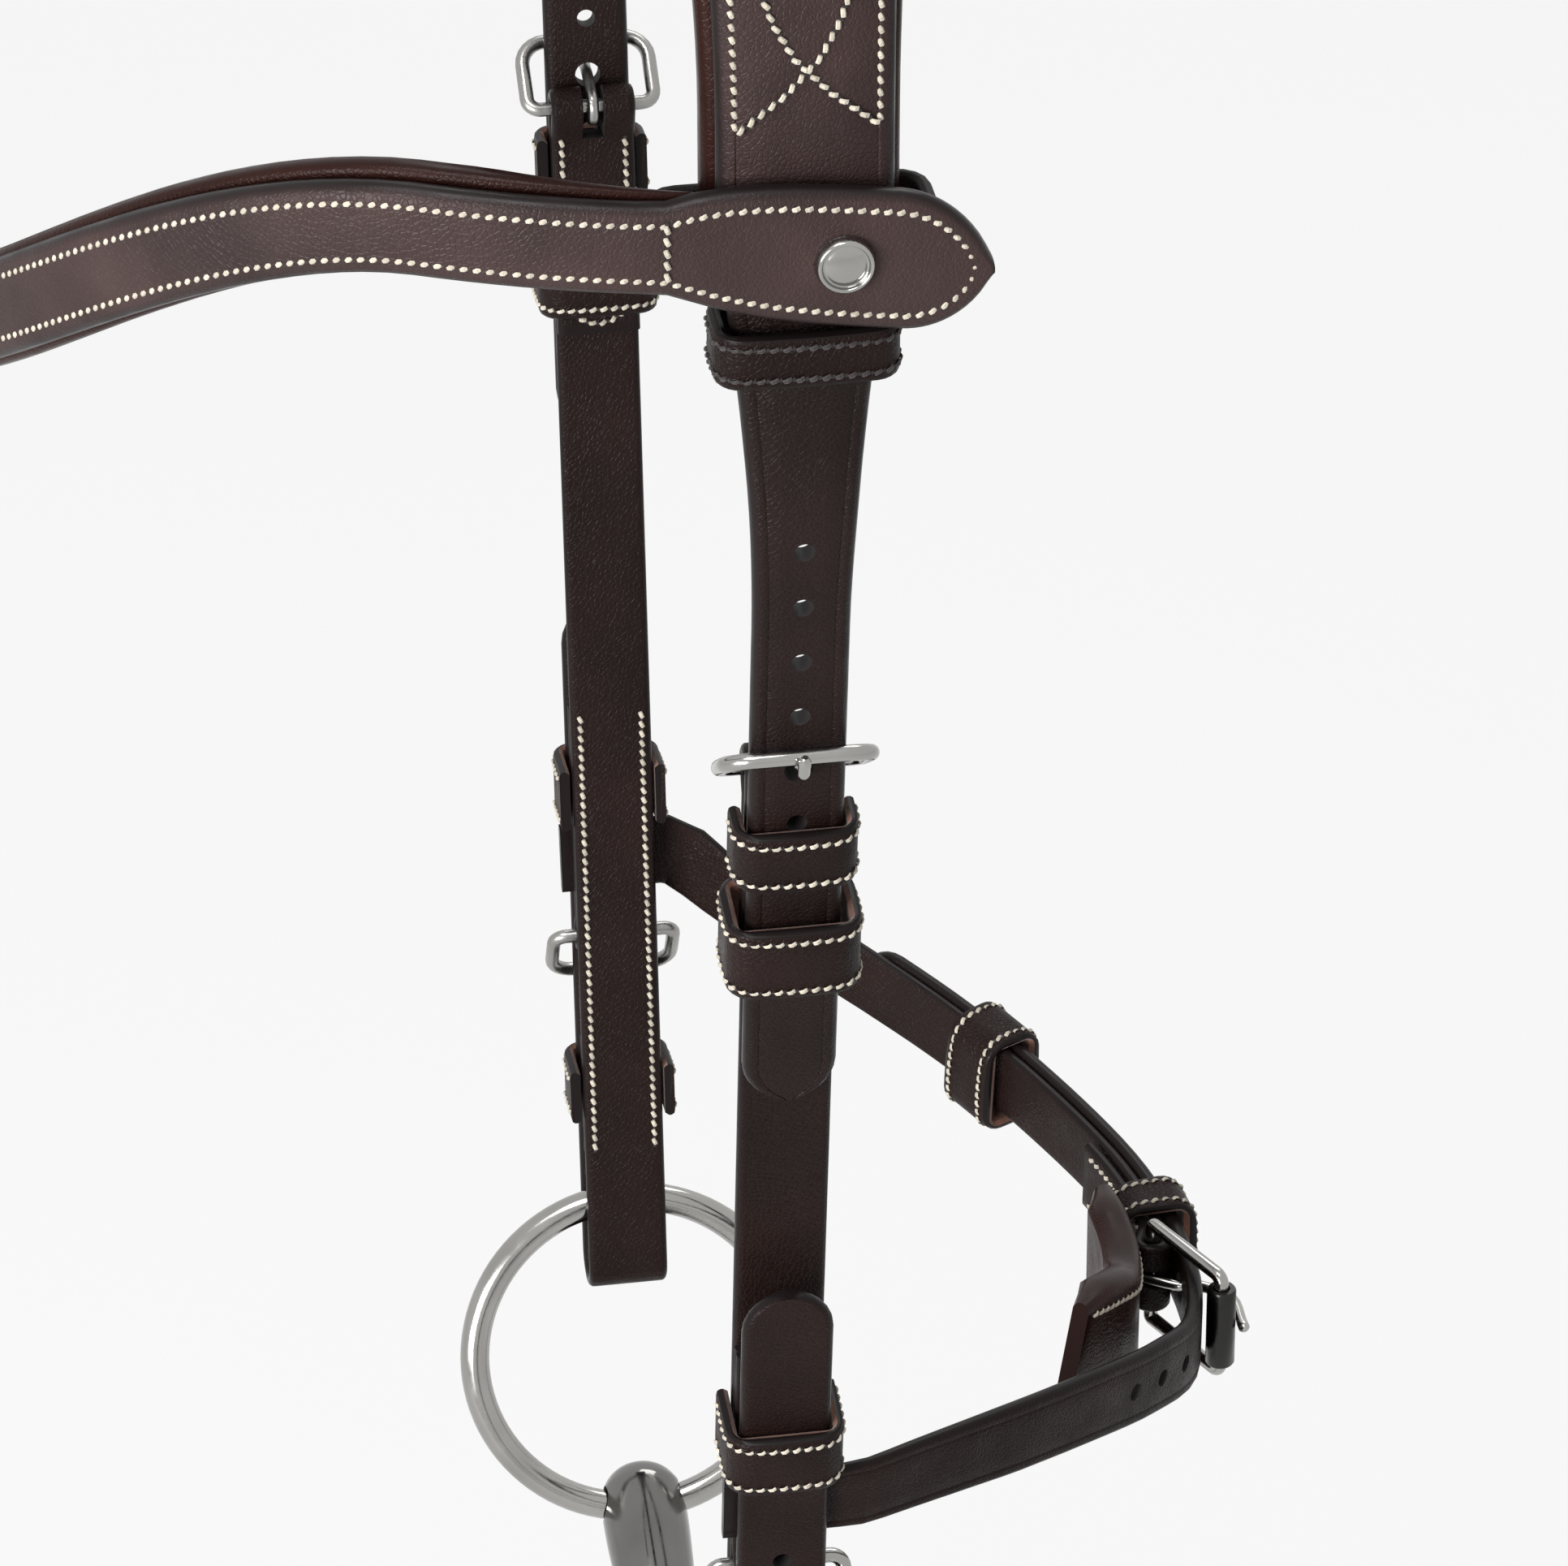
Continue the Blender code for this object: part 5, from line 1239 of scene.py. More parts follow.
def loop(node, body, place_at, top, depth, half, low, high, thick, lined=True, closed=True):
    """A bulging leather loop with rolled edges, sewn round both. A fixed one is open:
    its ends go in between the straps."""
    looks = finishes()
    inner = loop_line(half, low, high, KEEPER_CORNER, 0.0, closed)
    outer_low = low - thick if closed else low
    outer = loop_line(half + thick, outer_low, high + thick, LOOP_ROUND, LOOP_BULGE, closed)
    roll = thick * ROLL_SHARE
    columns = [(roll, 0.0)]
    columns += [(depth - roll * inset, share) for inset, share in ROLL_SHAPE]
    columns += [(roll * inset, share) for inset, share in reversed(ROLL_SHAPE[1:])]
    rings = []
    edges = []
    for (qi, ni), (qo, no) in zip(inner, outer):
        rings.append([place_at(top + s, mixed(qi, qo, share), mixed(ni, no, share))
                      for s, share in columns])
        edges += [0.0 if share == 1.0 else 1.0 for _, share in columns]
    verts, faces = skin(rings, closed)
    slots = [int(lined and k in LINED_COLUMNS) for k in range(len(columns))]
    slots *= len(rings) if closed else len(rings) - 1
    slots += [0] * (len(faces) - len(slots))
    item = make(f"{node}_leather", verts, faces, [looks["leather"], looks["lining"]],
                {"edge": edges}, slots)
    fit(item, body, node)
    lines = []
    for s in (SEAM_INSET, depth - SEAM_INSET):
        line = []
        for (qi, ni), (qo, no) in zip(inner + inner[:closed], outer + outer[:closed]):
            spot = place_at(top + s, qo, no)
            normal = (spot - place_at(top + s, qi, ni)).normalized()
            line.append((spot + normal * THREAD_LIFT, normal))
        lines.append(line)
    sew(f"{node}_leather_stitching", lines, body, looks["thread" if lined else "dark_thread"])


def headpiece_loops():
    """Loop below the browband, sewn in dark thread."""
    for label, side in SIDES:
        loop(f"headpiece_loop_{label}", "bridle", partial(cheek_point, side), LOOP_TOP_AT,
             LOOP_DEPTH, head_width(LOOP_TOP_AT) / 2 + LOOP_FIT, -LOOP_FIT - PAD_THICK / 2,
             HALF_GAP + HEAD_THICK + HEAD_CROWN + GAP + LOOP_FIT, LOOP_THICK, lined=False)


def brow_half():
    """Near half of the browband, tongue tip to front: facts are its face height."""
    rows = []
    flat = spread(TONGUE_BACK, TONGUE_SHOULDER, FINE_STEP / 4)
    flat += spread(TONGUE_SHOULDER, -BROW_STRAIGHT, FINE_STEP / 2)[1:-1]
    for y in flat:
        place = tongue_place(y, CHEEK_OUT + BAND_INNER)
        rows.append((place, UP, Vector((1, 0, 0)), tongue_face(y)))
    for k in range(BROW_FINE + 1):
        place, across, outward = brow_line(math.pi / 2 * k / BROW_FINE)
        rows.append((place, across, outward, tongue_face(place.y)))
    tip = tongue_place(TONGUE_BACK + TONGUE_TIP_FACE / 5, CHEEK_OUT + BAND_INNER)
    return [(tip, UP, Vector((1, 0, 0)), TONGUE_TIP_FACE / 2)] + rows


def nose_reach(from_tip, reach, nose):
    """Half the tongue's height this far from its tip, full and round."""
    left = min(1.0, max(0.0, 1 - from_tip / nose))
    return reach * (1 - left * left) ** TONGUE_NOSE_POWER


def rounded_tips(rows):
    """The same rows, with both tongues full and round towards their tips."""
    ends = (rows[0][0], rows[-1][0])
    shaped = []
    for place, across, outward, face in rows:
        from_tip = min((place - end).length for end in ends)
        if from_tip < TONGUE_NOSE:
            face = max(face, 2 * nose_reach(from_tip, TONGUE_FACE / 2, TONGUE_NOSE))
        shaped.append((place, across, outward, face))
    return shaped


def browband_strap():
    """The band and its two pointed tongues, sewn along both edges."""
    looks = finishes()
    rows = rounded_tips(both_sides(brow_half()))
    stations = [row[:3] for row in rows]
    sections = [strap_section(row[3], 0, BROW_THICK, BROW_CROWN) for row in rows]
    # The band's lighter, greyer colour is painted sheen on waxed leather
    item = strap("browband_strap", stations, sections, looks["sheen_and_wax"])
    fit(item, "browband_body", "browband")
    browband_stitching(rows, stations)


def browband_stitching(rows, stations):
    """One seam right round the band, and one across it before each tongue."""
    from_tip = [min((row[0] - rows[0][0]).length, (row[0] - rows[-1][0]).length) for row in rows]
    first = next(k for k, distance in enumerate(from_tip) if distance > BROW_SEAM_INSET)

    def seam_reach(k):
        if from_tip[k] < TONGUE_NOSE:
            return nose_reach(from_tip[k] - BROW_SEAM_INSET, TONGUE_FACE / 2 - BROW_SEAM_INSET,
                              TONGUE_NOSE - BROW_SEAM_INSET)
        return rows[k][3] / 2 - BROW_SEAM_INSET

    lines = []
    for sign in (1, -1):
        lines.append(row_on(stations, lambda k, sign=sign: sign * seam_reach(k),
                            lambda k: BROW_THICK + THREAD_LIFT, first, len(rows) - first))
    lines[0] = lines[1][:1] + lines[0] + lines[1][-1:]
    for side in (1, -1):
        own = [row for row in rows if row[0].x * side > 0]
        place, across, outward, face = min(own, key=lambda row: abs(row[0].y + CROSS_SEAM_BACK))
        reach = face / 2 - BROW_SEAM_INSET
        height = BROW_THICK + BROW_CROWN + THREAD_LIFT
        lines.append([(place + across * q + outward * height, outward)
                      for q in spread(-reach, reach, reach / 2)])
    sew("browband_stitching", lines, "browband_body", finishes()["thread"])


def browband_padding():
    """Stuffed pad behind the band; it stands proud above and below it."""
    looks = finishes()
    rows = both_sides([row for row in brow_half() if row[0].y < BROW_PAD_PAST - BROW_PAD_START])
    sections = []
    for k in range(len(rows)):
        ease = end_ease(k, len(rows) - 1, *BROW_PAD_EASE)
        sections.append(pad_section(mixed(BROW_FACE, BROW_PAD_FACE, ease * BROW_PAD_SHOWN_SHARE),
                                    -GAP - BROW_PAD_THICK * ease, -GAP))
    item = strap("browband_padding", [row[:3] for row in rows], sections, looks["padding"])
    fit(item, "browband_body", "browband_pad")


def browband_sleeves():
    """Inner layer that closes each end of the band round the headpiece."""
    looks = finishes()
    back = -HALF_GAP - PAD_THICK - SLEEVE_FIT
    top = BAND_INNER - GAP - SLEEVE_THICK / 4
    corner = SLEEVE_THICK * SLEEVE_CORNER_SHARE
    bend = [(corner * (1 - math.cos(math.radians(turn))),
             corner * (1 - math.sin(math.radians(turn)))) for turn in SLEEVE_TURNS]
    spots = [(SLEEVE_BACK, top), (SLEEVE_BACK, mixed(top, back, 0.5)), (SLEEVE_BACK, back + corner)]
    spots += [(SLEEVE_BACK - y, back + n) for y, n in bend] + [(0.0, back)]
    spots += [(-SLEEVE_FRONT + y, back + n) for y, n in reversed(bend)]
    spots += [(-SLEEVE_FRONT, back + corner), (-SLEEVE_FRONT, mixed(top, back, 0.5)),
              (-SLEEVE_FRONT, top - GAP)]
    middle = BAND_Z + (SLEEVE_ABOVE - SLEEVE_FACE / 2) / 2
    section = strap_section(SLEEVE_FACE / 2 + SLEEVE_ABOVE, 0, SLEEVE_THICK)
    for label, side in SIDES:
        hub = Vector((side * (CHEEK_OUT + top), 0, middle))
        stations = []
        for k, (y, n) in enumerate(spots):
            step = heading(spots, k)
            outward = Vector((-step.x, step.y, 0)).normalized()
            centre = Vector((side * (CHEEK_OUT + n), y, middle))
            if outward.dot(hub - centre) > 0:
                outward = -outward
            stations.append((centre, UP, outward))
        item = strap(f"browband_sleeve_{label}_leather", stations, [section] * len(stations),
                     looks["inner"])
        fit(item, "browband_body", f"browband_sleeve_{label}")


def browband_studs():
    """Plain polished stud with a raised rim."""
    looks = finishes()
    profile = eased([(STUD_HEIGHT * up, STUD_RADIUS * out) for up, out in STUD_SHAPE], 3)
    for label, side in SIDES:
        centre = tongue_place(STUD_BACK, side * (CHEEK_OUT + BAND_OUTER + BROW_CROWN))
        item = make(f"browband_stud_{label}_metal",
                    *turned(profile, centre, Vector((side, 0, 0)), ACROSS), [looks["steel"]])
        fit(item, "browband_body", f"browband_stud_{label}")


# Cheekpieces and their buckles

def arc(centre_s, centre_n, radius, start, end):
    """Points on a bend, as (s, depth)."""
    points = []
    for k in range(BEND_STEPS + 1):
        angle = math.radians(mixed(start, end, k / BEND_STEPS))
        points.append((centre_s + radius * math.cos(angle), centre_n + radius * math.sin(angle)))
    return points


def cheek_stations(side, line):
    """Stations along (s, depth) points of a cheek; the face points away from the horse."""
    stations = []
    for k, (s, n) in enumerate(line):
        down, outward = cheek_axis(side, s)
        step = heading(line, k)
        stations.append((cheek_point(side, s, 0, n), ACROSS, outward * step.x - down * step.y))
    return stations


def cheek_strap_line():
    """Place, depth, width and thickness: turn-in, front, fold round the ring, return billet."""
    front = (CHEEK_INNER - HALF_GAP) / 2
    back = CHEEK_INNER - GAP - STRAP_THICK / 2
    turn = WIRE_RADIUS + BAR_FIT + STRAP_THICK / 2
    closed_at = UPPER_HEEL_AT + FOLD_CLOSE
    line = [(s, back) for s in spread(TURN_IN_END, closed_at, FINE_STEP)]
    line.append((UPPER_HEEL_AT + FOLD_CLOSE / 2, mixed(back, HEEL_IN - turn, CHEEK_NECK_SHARE)))
    line += [(2 * UPPER_HEEL_AT - s, n) for s, n in arc(UPPER_HEEL_AT, HEEL_IN, turn, -90, 90)]
    line += [(s, front) for s in spread(closed_at, FOLD_BOTTOM - 2 * FOLD_RADIUS, FINE_STEP)]
    rows = [(s, n, STRAP_WIDTH, STRAP_THICK) for s, n in line]
    centre = FOLD_BOTTOM - RETURN_THICK - FOLD_RADIUS
    for k in range(BEND_STEPS + 1):
        depth = mixed(STRAP_THICK, RETURN_THICK, k / BEND_STEPS)
        angle = math.radians(mixed(-90, 90, k / BEND_STEPS))
        reach = FOLD_RADIUS + depth / 2
        rows.append((centre + reach * math.cos(angle), HANG_DEPTH + reach * math.sin(angle),
                     STRAP_WIDTH, depth))
    outer = RETURN_INNER + RETURN_THICK / 2
    run = spread(centre - FINE_STEP, TIP_AT + STRAP_WIDTH / 2, FINE_STEP)[:-1]
    rows += [(s, outer, STRAP_WIDTH, RETURN_THICK) for s in run]
    rows += [(s, outer, width, RETURN_THICK) for s, width in tip_run(TIP_AT, STRAP_WIDTH, -1)]
    return rows


def crew_slot(side, heel_at, depth, towards, thick):
    """Long hole through the turn-in, for the prong."""
    half = SLOT_WIDTH / 2
    clear = WIRE_RADIUS + BAR_FIT + thick
    low = depth - clear - SLOT_PAST
    high = depth + clear + SLOT_PAST / 2
    rings = []
    for s in (heel_at + towards * (clear + SLOT_PAST),
              heel_at - towards * (SLOT_REACH - WIRE_RADIUS)):
        rings.append([cheek_point(side, s, q, n)
                      for q, n in ((-half, low), (half, low), (half, high), (-half, high))])
    return skin(rings)


def cheek_row(side, spots, n, facing, at):
    """Line through (s, q) spots of a flat face; facing is +1 away from the horse."""
    outward = cheek_axis(side, at)[1]
    return [(cheek_point(side, s, q, n + facing * THREAD_LIFT), outward * facing) for s, q in spots]


def straight_row(side, start, end, q, n, facing):
    """Line down a flat face of a cheek strap."""
    spots = [(s, q) for s in spread(start, end, FINE_STEP)]
    return cheek_row(side, spots, n, facing, mixed(start, end, 0.5))


def u_row(side, start, end, reach, n, facing):
    """Two rows joined by a round end, as one line."""
    spots = [(s, -reach) for s in spread(start, end - reach, FINE_STEP)]
    for k in range(1, U_STEPS):
        angle = math.pi * k / U_STEPS
        spots.append((end - reach + reach * math.sin(angle), -reach * math.cos(angle)))
    spots += [(s, reach) for s in spread(end - reach, start, FINE_STEP)]
    return cheek_row(side, spots, n, facing, end)


def cheek_straps():
    """Each cheekpiece in one strap, with its holes, crew hole and the rows that hold its folds."""
    looks = finishes()
    places = cheek_strap_line()
    line = [place[:2] for place in places]
    sections = []
    for k, (_, _, width, depth) in enumerate(places):
        crease = CREASE_DEPTH if k > len(places) / 2 else 0.0
        sections.append(strap_section(width, -depth / 2, depth / 2, 0.0, crease))
    reach = STRAP_WIDTH / 2 - SEAM_INSET
    closed_at = UPPER_HEEL_AT + FOLD_CLOSE
    for label, side in SIDES:
        item = strap(f"cheek_strap_{label}", cheek_stations(side, line), sections, looks["leather"])
        cuts = [crew_slot(side, UPPER_HEEL_AT, HEEL_IN, -1, STRAP_THICK)]
        cuts += punched(side, BIT_HOLE_AT, BIT_HOLES_ABOVE, BIT_HOLES_BELOW, RETURN_INNER - GAP,
                        2 * RETURN_OUTER)
        carve(item, cuts, looks["hole"])
        fit(item, "bridle", f"cheekpiece_{label}")
        rows = [u_row(side, closed_at, TURN_IN_END - SEAM_INSET, reach,
                      CHEEK_INNER - GAP - STRAP_THICK, -1)]
        for q in (-reach, reach):
            rows.append(straight_row(side, CHAPE_TOP_AT, TAB_END_AT - SEAM_INSET, q, CHEEK_INNER,
                                     -1))
            rows.append(straight_row(side, closed_at, TURN_IN_END - reach, q, -HALF_GAP, 1))
        sew(f"cheek_stitching_{label}", rows, "bridle", looks["thread"])


def sewn_layer(kind, label, side, line, thick, cuts, seam, face):
    """A layer of the cheekpiece, sewn to it down both edges."""
    looks = finishes()
    section = strap_section(CHAPE_WIDTH, -thick / 2, thick / 2)
    item = strap(f"{kind}_{label}_leather", cheek_stations(side, line), [section] * len(line),
                 looks["inner"])
    if cuts:
        carve(item, cuts, looks["hole"])
    fit(item, "bridle", f"{kind}_{label}")
    reach = CHAPE_WIDTH / 2 - SEAM_INSET
    rows = [straight_row(side, *seam, q, face, 1) for q in (-reach, reach)]
    sew(f"{kind}_stitching_{label}", rows, "bridle", looks["thread"])


def bit_chapes():
    """Folded chape for the bit-end buckle, and the tab under the lower keeper."""
    turn = WIRE_RADIUS + BAR_FIT + CHAPE_THICK / 2
    low = HALF_GAP + CHAPE_THICK / 2
    top = HALF_GAP + CHAPE_THICK + GAP + CHAPE_THICK / 2
    near_bar = BIT_HEEL_AT - CHAPE_CLOSE
    line = [(s, low) for s in spread(CHAPE_TOP_AT, near_bar, FINE_STEP)]
    line += arc(BIT_HEEL_AT, BIT_HEEL_IN, turn, -90, 90)
    line.append((mixed(BIT_HEEL_AT, near_bar, CHAPE_NECK_SHARES[0]),
                 mixed(BIT_HEEL_IN + turn, top, CHAPE_NECK_SHARES[1])))
    line += [(s, top) for s in spread(near_bar, CHAPE_TOP_AT, FINE_STEP)]
    tab_line = [(s, HALF_GAP + TAB_THICK / 2) for s in spread(TAB_TOP_AT, TAB_END_AT, FINE_STEP)]
    for label, side in SIDES:
        slot = crew_slot(side, BIT_HEEL_AT, BIT_HEEL_IN, 1, CHAPE_THICK)
        sewn_layer("bit_chape", label, side, line, CHAPE_THICK, [slot],
                   (CHAPE_TOP_AT + SEAM_INSET, JAW_AT - JAW_WIDTH), top + CHAPE_THICK / 2)
        sewn_layer("bit_tab", label, side, tab_line, TAB_THICK, [],
                   (TAB_TOP_AT + SEAM_INSET, TAB_END_AT), HALF_GAP + TAB_THICK)


def buckle_frame(name, origin, along, across, length, width, corner, body, node, look):
    """Round-wire frame, a little flattened where it is widest."""
    points = [origin + along * a + across * c for a, c in frame_path(length, width, corner)]
    axis = along.cross(across).normalized()
    item = make(name, *tube(points, [WIRE_RADIUS] * len(points), axis, True), [look])
    return fit(item, body, node)


def buckle_prong(name, path, axis, to_world, body, node, look):
    """Prong curled round its heel bar and bent up over the front of the frame."""
    reach = WIRE_RADIUS + BAR_FIT + PRONG_RADIUS
    curl = [(reach * math.cos(math.radians(turn)), reach * math.sin(math.radians(turn)))
            for turn in CURL_TURNS]
    fine = smooth_line(curl + path, PRONG_STEPS)
    last = len(fine) - 1
    radii = [PRONG_RADIUS * min(1.0, PRONG_TIP_SHARE + PRONG_TAPER * (last - k))
             for k in range(last + 1)]
    radii[0] *= PRONG_CURL_SHARE
    points = [to_world(a, n) for a, n in fine]
    item = make(name, *tube(points, radii, axis, steps=PRONG_SIDES), [look])
    return fit(item, body, node)


def prong_rise(hole, top):
    """The prong's way up through its hole, as (along, depth)."""
    rise = [(hole * share, top * up) for share, up in PRONG_RISE_SHARES]
    return rise + [(hole + PRONG_RADIUS / 2, top + PRONG_RADIUS)]


def cheek_buckle(kind, label, side, heel_at, depth, tilt, length, towards, hole_at, leather_top,
                 look):
    """Frame and prong; towards is the way down the strap from heel bar to front bar."""
    down, outward = cheek_axis(side, heel_at)
    origin = cheek_point(side, heel_at, 0, depth)
    along = (down * towards * math.cos(tilt) + outward * math.sin(tilt)).normalized()
    buckle_frame(f"{kind}_buckle_{label}_frame", origin, along, ACROSS, length, FRAME_WIDTH,
                 FRAME_CORNER, f"{kind}_buckle_{label}_body", f"{kind}_buckle_{label}", look)
    front = length * math.cos(tilt)
    rest = length * math.sin(tilt) + WIRE_RADIUS + BAR_FIT + PRONG_RADIUS
    hole = abs(hole_at - heel_at)
    top = leather_top - depth

    def to_world(a, n):
        return origin + down * towards * a + outward * n

    path = prong_rise(hole, top)
    path += [(mixed(hole, front, PRONG_OVER_SHARES[0]), mixed(top, rest, PRONG_OVER_SHARES[1])),
             (front, rest), (front + PRONG_PAST, rest + PRONG_RADIUS / 2)]
    buckle_prong(f"{kind}_prong_{label}_wire", path, ACROSS, to_world, f"{kind}_prong_{label}_body",
                 f"{kind}_prong_{label}", look)


def cheek_buckles():
    """Upper and bit-end buckles; those of the far side are rougher, and darker in colour as painted
    shade.
    """
    looks = finishes()
    for label, side in SIDES:
        # Far side: a darker, rougher copy of the steel; the darker colour is painted shade
        look = looks["steel"] if side > 0 else looks["satin_and_far_shade"]
        cheek_buckle("upper", label, side, UPPER_HEEL_AT, HEEL_IN, UPPER_TILT, FRAME_LENGTH, -1,
                     PRONG_HOLE_AT, HALF_GAP + BILLET_THICK, look)
        cheek_buckle("bit", label, side, BIT_HEEL_AT, BIT_HEEL_IN, BIT_TILT, BIT_FRAME_LENGTH, 1,
                     BIT_HOLE_AT, RETURN_OUTER, look)


def cheek_keepers():
    """Fixed keepers and running keepers, each sewn twice round and lined."""
    stack_low = CHEEK_INNER - GAP - STRAP_THICK
    stack_high = HALF_GAP + BILLET_THICK
    tucked = CHEEK_INNER + STRAP_THICK / 4
    kinds = (("upper_keeper", UPPER_KEEPER_AT, UPPER_KEEPER_DEPTH, KEEPER_FIT, CHEEK_INNER,
              stack_high),
             ("upper_runner", RUNNER_AT, RUNNER_DEPTH, RUNNER_FIT, stack_low - RUNNER_FIT,
              stack_high),
             ("bit_keeper", BIT_KEEPER_AT, BIT_KEEPER_DEPTH, KEEPER_FIT, tucked, RETURN_OUTER),
             ("low_keeper", LOW_KEEPER_AT, LOW_KEEPER_DEPTH, KEEPER_FIT, tucked, RETURN_OUTER))
    for label, side in SIDES:
        for kind, top, depth, slack, low, high in kinds:
            runs = kind == "upper_runner"
            loop(f"{kind}_{label}", f"{kind}_{label}_body" if runs else "bridle",
                 partial(cheek_point, side), top, depth, STRAP_WIDTH / 2 + slack, low, high + slack,
                 KEEPER_THICK, closed=runs)


# Bit

def loose_ring_bit():
    """Two polished rings through the ends of a single-jointed mouthpiece."""
    looks = finishes()
    eye = CANNON_LENGTH - (EYE_RADIUS - EYE_BAR - EYE_SLACK / 2)
    profile = [(BUTT_PAST * along, BUTT_RADIUS * out) for along, out in BUTT_SHAPE]
    profile += [(CANNON_LENGTH * ARM_MIDDLE_SHARE, MID_RADIUS),
                (CANNON_LENGTH * ARM_NECK_SHARE, mixed(NECK_RADIUS, MID_RADIUS, ARM_TAPER_SHARE)),
                (eye - EYE_RADIUS - EYE_BAR, NECK_RADIUS * NECK_END_SHARE),
                (eye - EYE_RADIUS + EYE_BAR * NECK_SUNK_SHARE, EYE_BAR * NECK_TIP_SHARE)]
    profile = eased(profile)
    for label, side in SIDES:
        _, centre, low, down = bit_places(side)
        normal = down.cross(ACROSS).normalized()
        middles = [centre + ACROSS * a + down * b for a, b in circle(RING_STEPS, RING_RADIUS)]
        bar = tube(middles, [RING_BAR] * RING_STEPS, normal, True, BAR_SIDES)
        item = make(f"bit_ring_{label}_metal", *bar, [looks["steel"]])
        fit(item, f"bit_ring_{label}_body", f"bit_ring_{label}")
        axis = cannon_axis(side)
        # Arms and eyes take the darker copy of the steel: painted dark reflection
        item = make(f"bit_arm_{label}", *turned(profile, low, axis, ACROSS), [looks["bit_steel_dark_reflection"]])
        bore = tube(middles, [RING_HOLE] * RING_STEPS, normal, True, BAR_SIDES)
        carve(item, [bore], looks["satin_and_far_shade"])
        fit(item, f"bit_cannon_{label}_body", f"bit_cannon_{label}")
        face = ACROSS if side < 0 else axis.cross(ACROSS)
        flat = axis.cross(face)
        ring = [low + axis * eye + axis * a + flat * b for a, b in circle(EYE_STEPS, EYE_RADIUS)]
        link = make(f"bit_eye_{label}", *tube(ring, [EYE_BAR] * EYE_STEPS, face, True),
                    [looks["bit_steel_dark_reflection"]])
        trim(link, f"bit_cannon_{label}_body")


# Jaw strap

def jaw_stations(line):
    """Stations along (w, depth) points of the jaw strap's route."""
    stations = []
    for k, (w, n) in enumerate(line):
        place, along, down, outward = jaw_frame(w)
        step = heading(line, k)
        stations.append((place + outward * n, down, outward * step.x - along * step.y))
    return stations


def jaw_leather(name, rows, facing):
    """One strap through rows of place, depth, width and thickness."""
    stations = [(place, down, face * facing)
                for place, down, face in jaw_stations([row[:2] for row in rows])]
    sections = [strap_section(width, -depth / 2, depth / 2, 0.0,
                              CREASE_DEPTH if depth > JAW_THICK else 0.0)
                for _, _, width, depth in rows]
    return strap(name, stations, sections, finishes()["leather"])


def jaw_seam(start, end, q, n, facing):
    """Line along a face of the jaw strap."""
    row = []
    for w in spread(start, end, FINE_STEP / 2):
        place, _, down, outward = jaw_frame(w)
        row.append((place + down * q + outward * (n + facing * THREAD_LIFT), outward * facing))
    return row


def jaw_strap_far():
    """Far strap, turned in round the roller buckle; its thin end lies inside the cheekpiece."""
    looks = finishes()
    front = -HALF_GAP - JAW_THICK / 2
    back = front - JAW_THICK - 2 * GAP
    turn = WIRE_RADIUS + BAR_FIT + JAW_THICK / 2
    near_bar = JAW_HEEL - FOLD_CLOSE / 2
    line = [(w, front * min(1.0, (w - JAW_TAB_BACK) / BLEND_STRETCH))
            for w in spread(JAW_TAB_BACK + FINE_STEP, near_bar, FINE_STEP)]
    line += arc(JAW_HEEL, JAW_HEEL_IN, turn, 90, -90)
    line.append((near_bar, mixed(JAW_HEEL_IN - turn, back, JAW_NECK_SHARE)))
    line += [(w, back) for w in spread(JAW_HEEL - FOLD_CLOSE, JAW_HEEL - JAW_TURN_IN, FINE_STEP)]
    rows = [(w, 0, JAW_WIDTH, JAW_TAB_THICK) for w in JAW_TAB_PLACES]
    rows += [(w, n, JAW_WIDTH, JAW_THICK) for w, n in line]
    item = jaw_leather("jaw_strap_far_leather", rows, 1)
    half = SLOT_WIDTH / 2
    clear = WIRE_RADIUS + BAR_FIT + JAW_THICK + SLOT_PAST
    low = JAW_HEEL_IN - clear
    corners = ((-half, low), (half, low), (half, SLOT_PAST), (-half, SLOT_PAST))
    slot = skin([[jaw_point(w, q, n) for q, n in corners]
                 for w in (JAW_HEEL + clear, JAW_HEEL - SLOT_REACH + WIRE_RADIUS)])
    carve(item, [slot], looks["hole"])
    fit(item, "jaw_strap_body", "jaw_strap_far")
    reach = JAW_WIDTH / 2 - SEAM_INSET
    seam = (JAW_HEEL - JAW_TURN_IN + SEAM_INSET, JAW_HEEL - FOLD_CLOSE)
    lines = []
    for q in (-reach, reach):
        lines.append(jaw_seam(*seam, q, -HALF_GAP, 1))
        lines.append(jaw_seam(*seam, q, back - JAW_THICK / 2, -1))
    sew("jaw_turn_in_stitching", lines, "jaw_strap_body", looks["thread"])


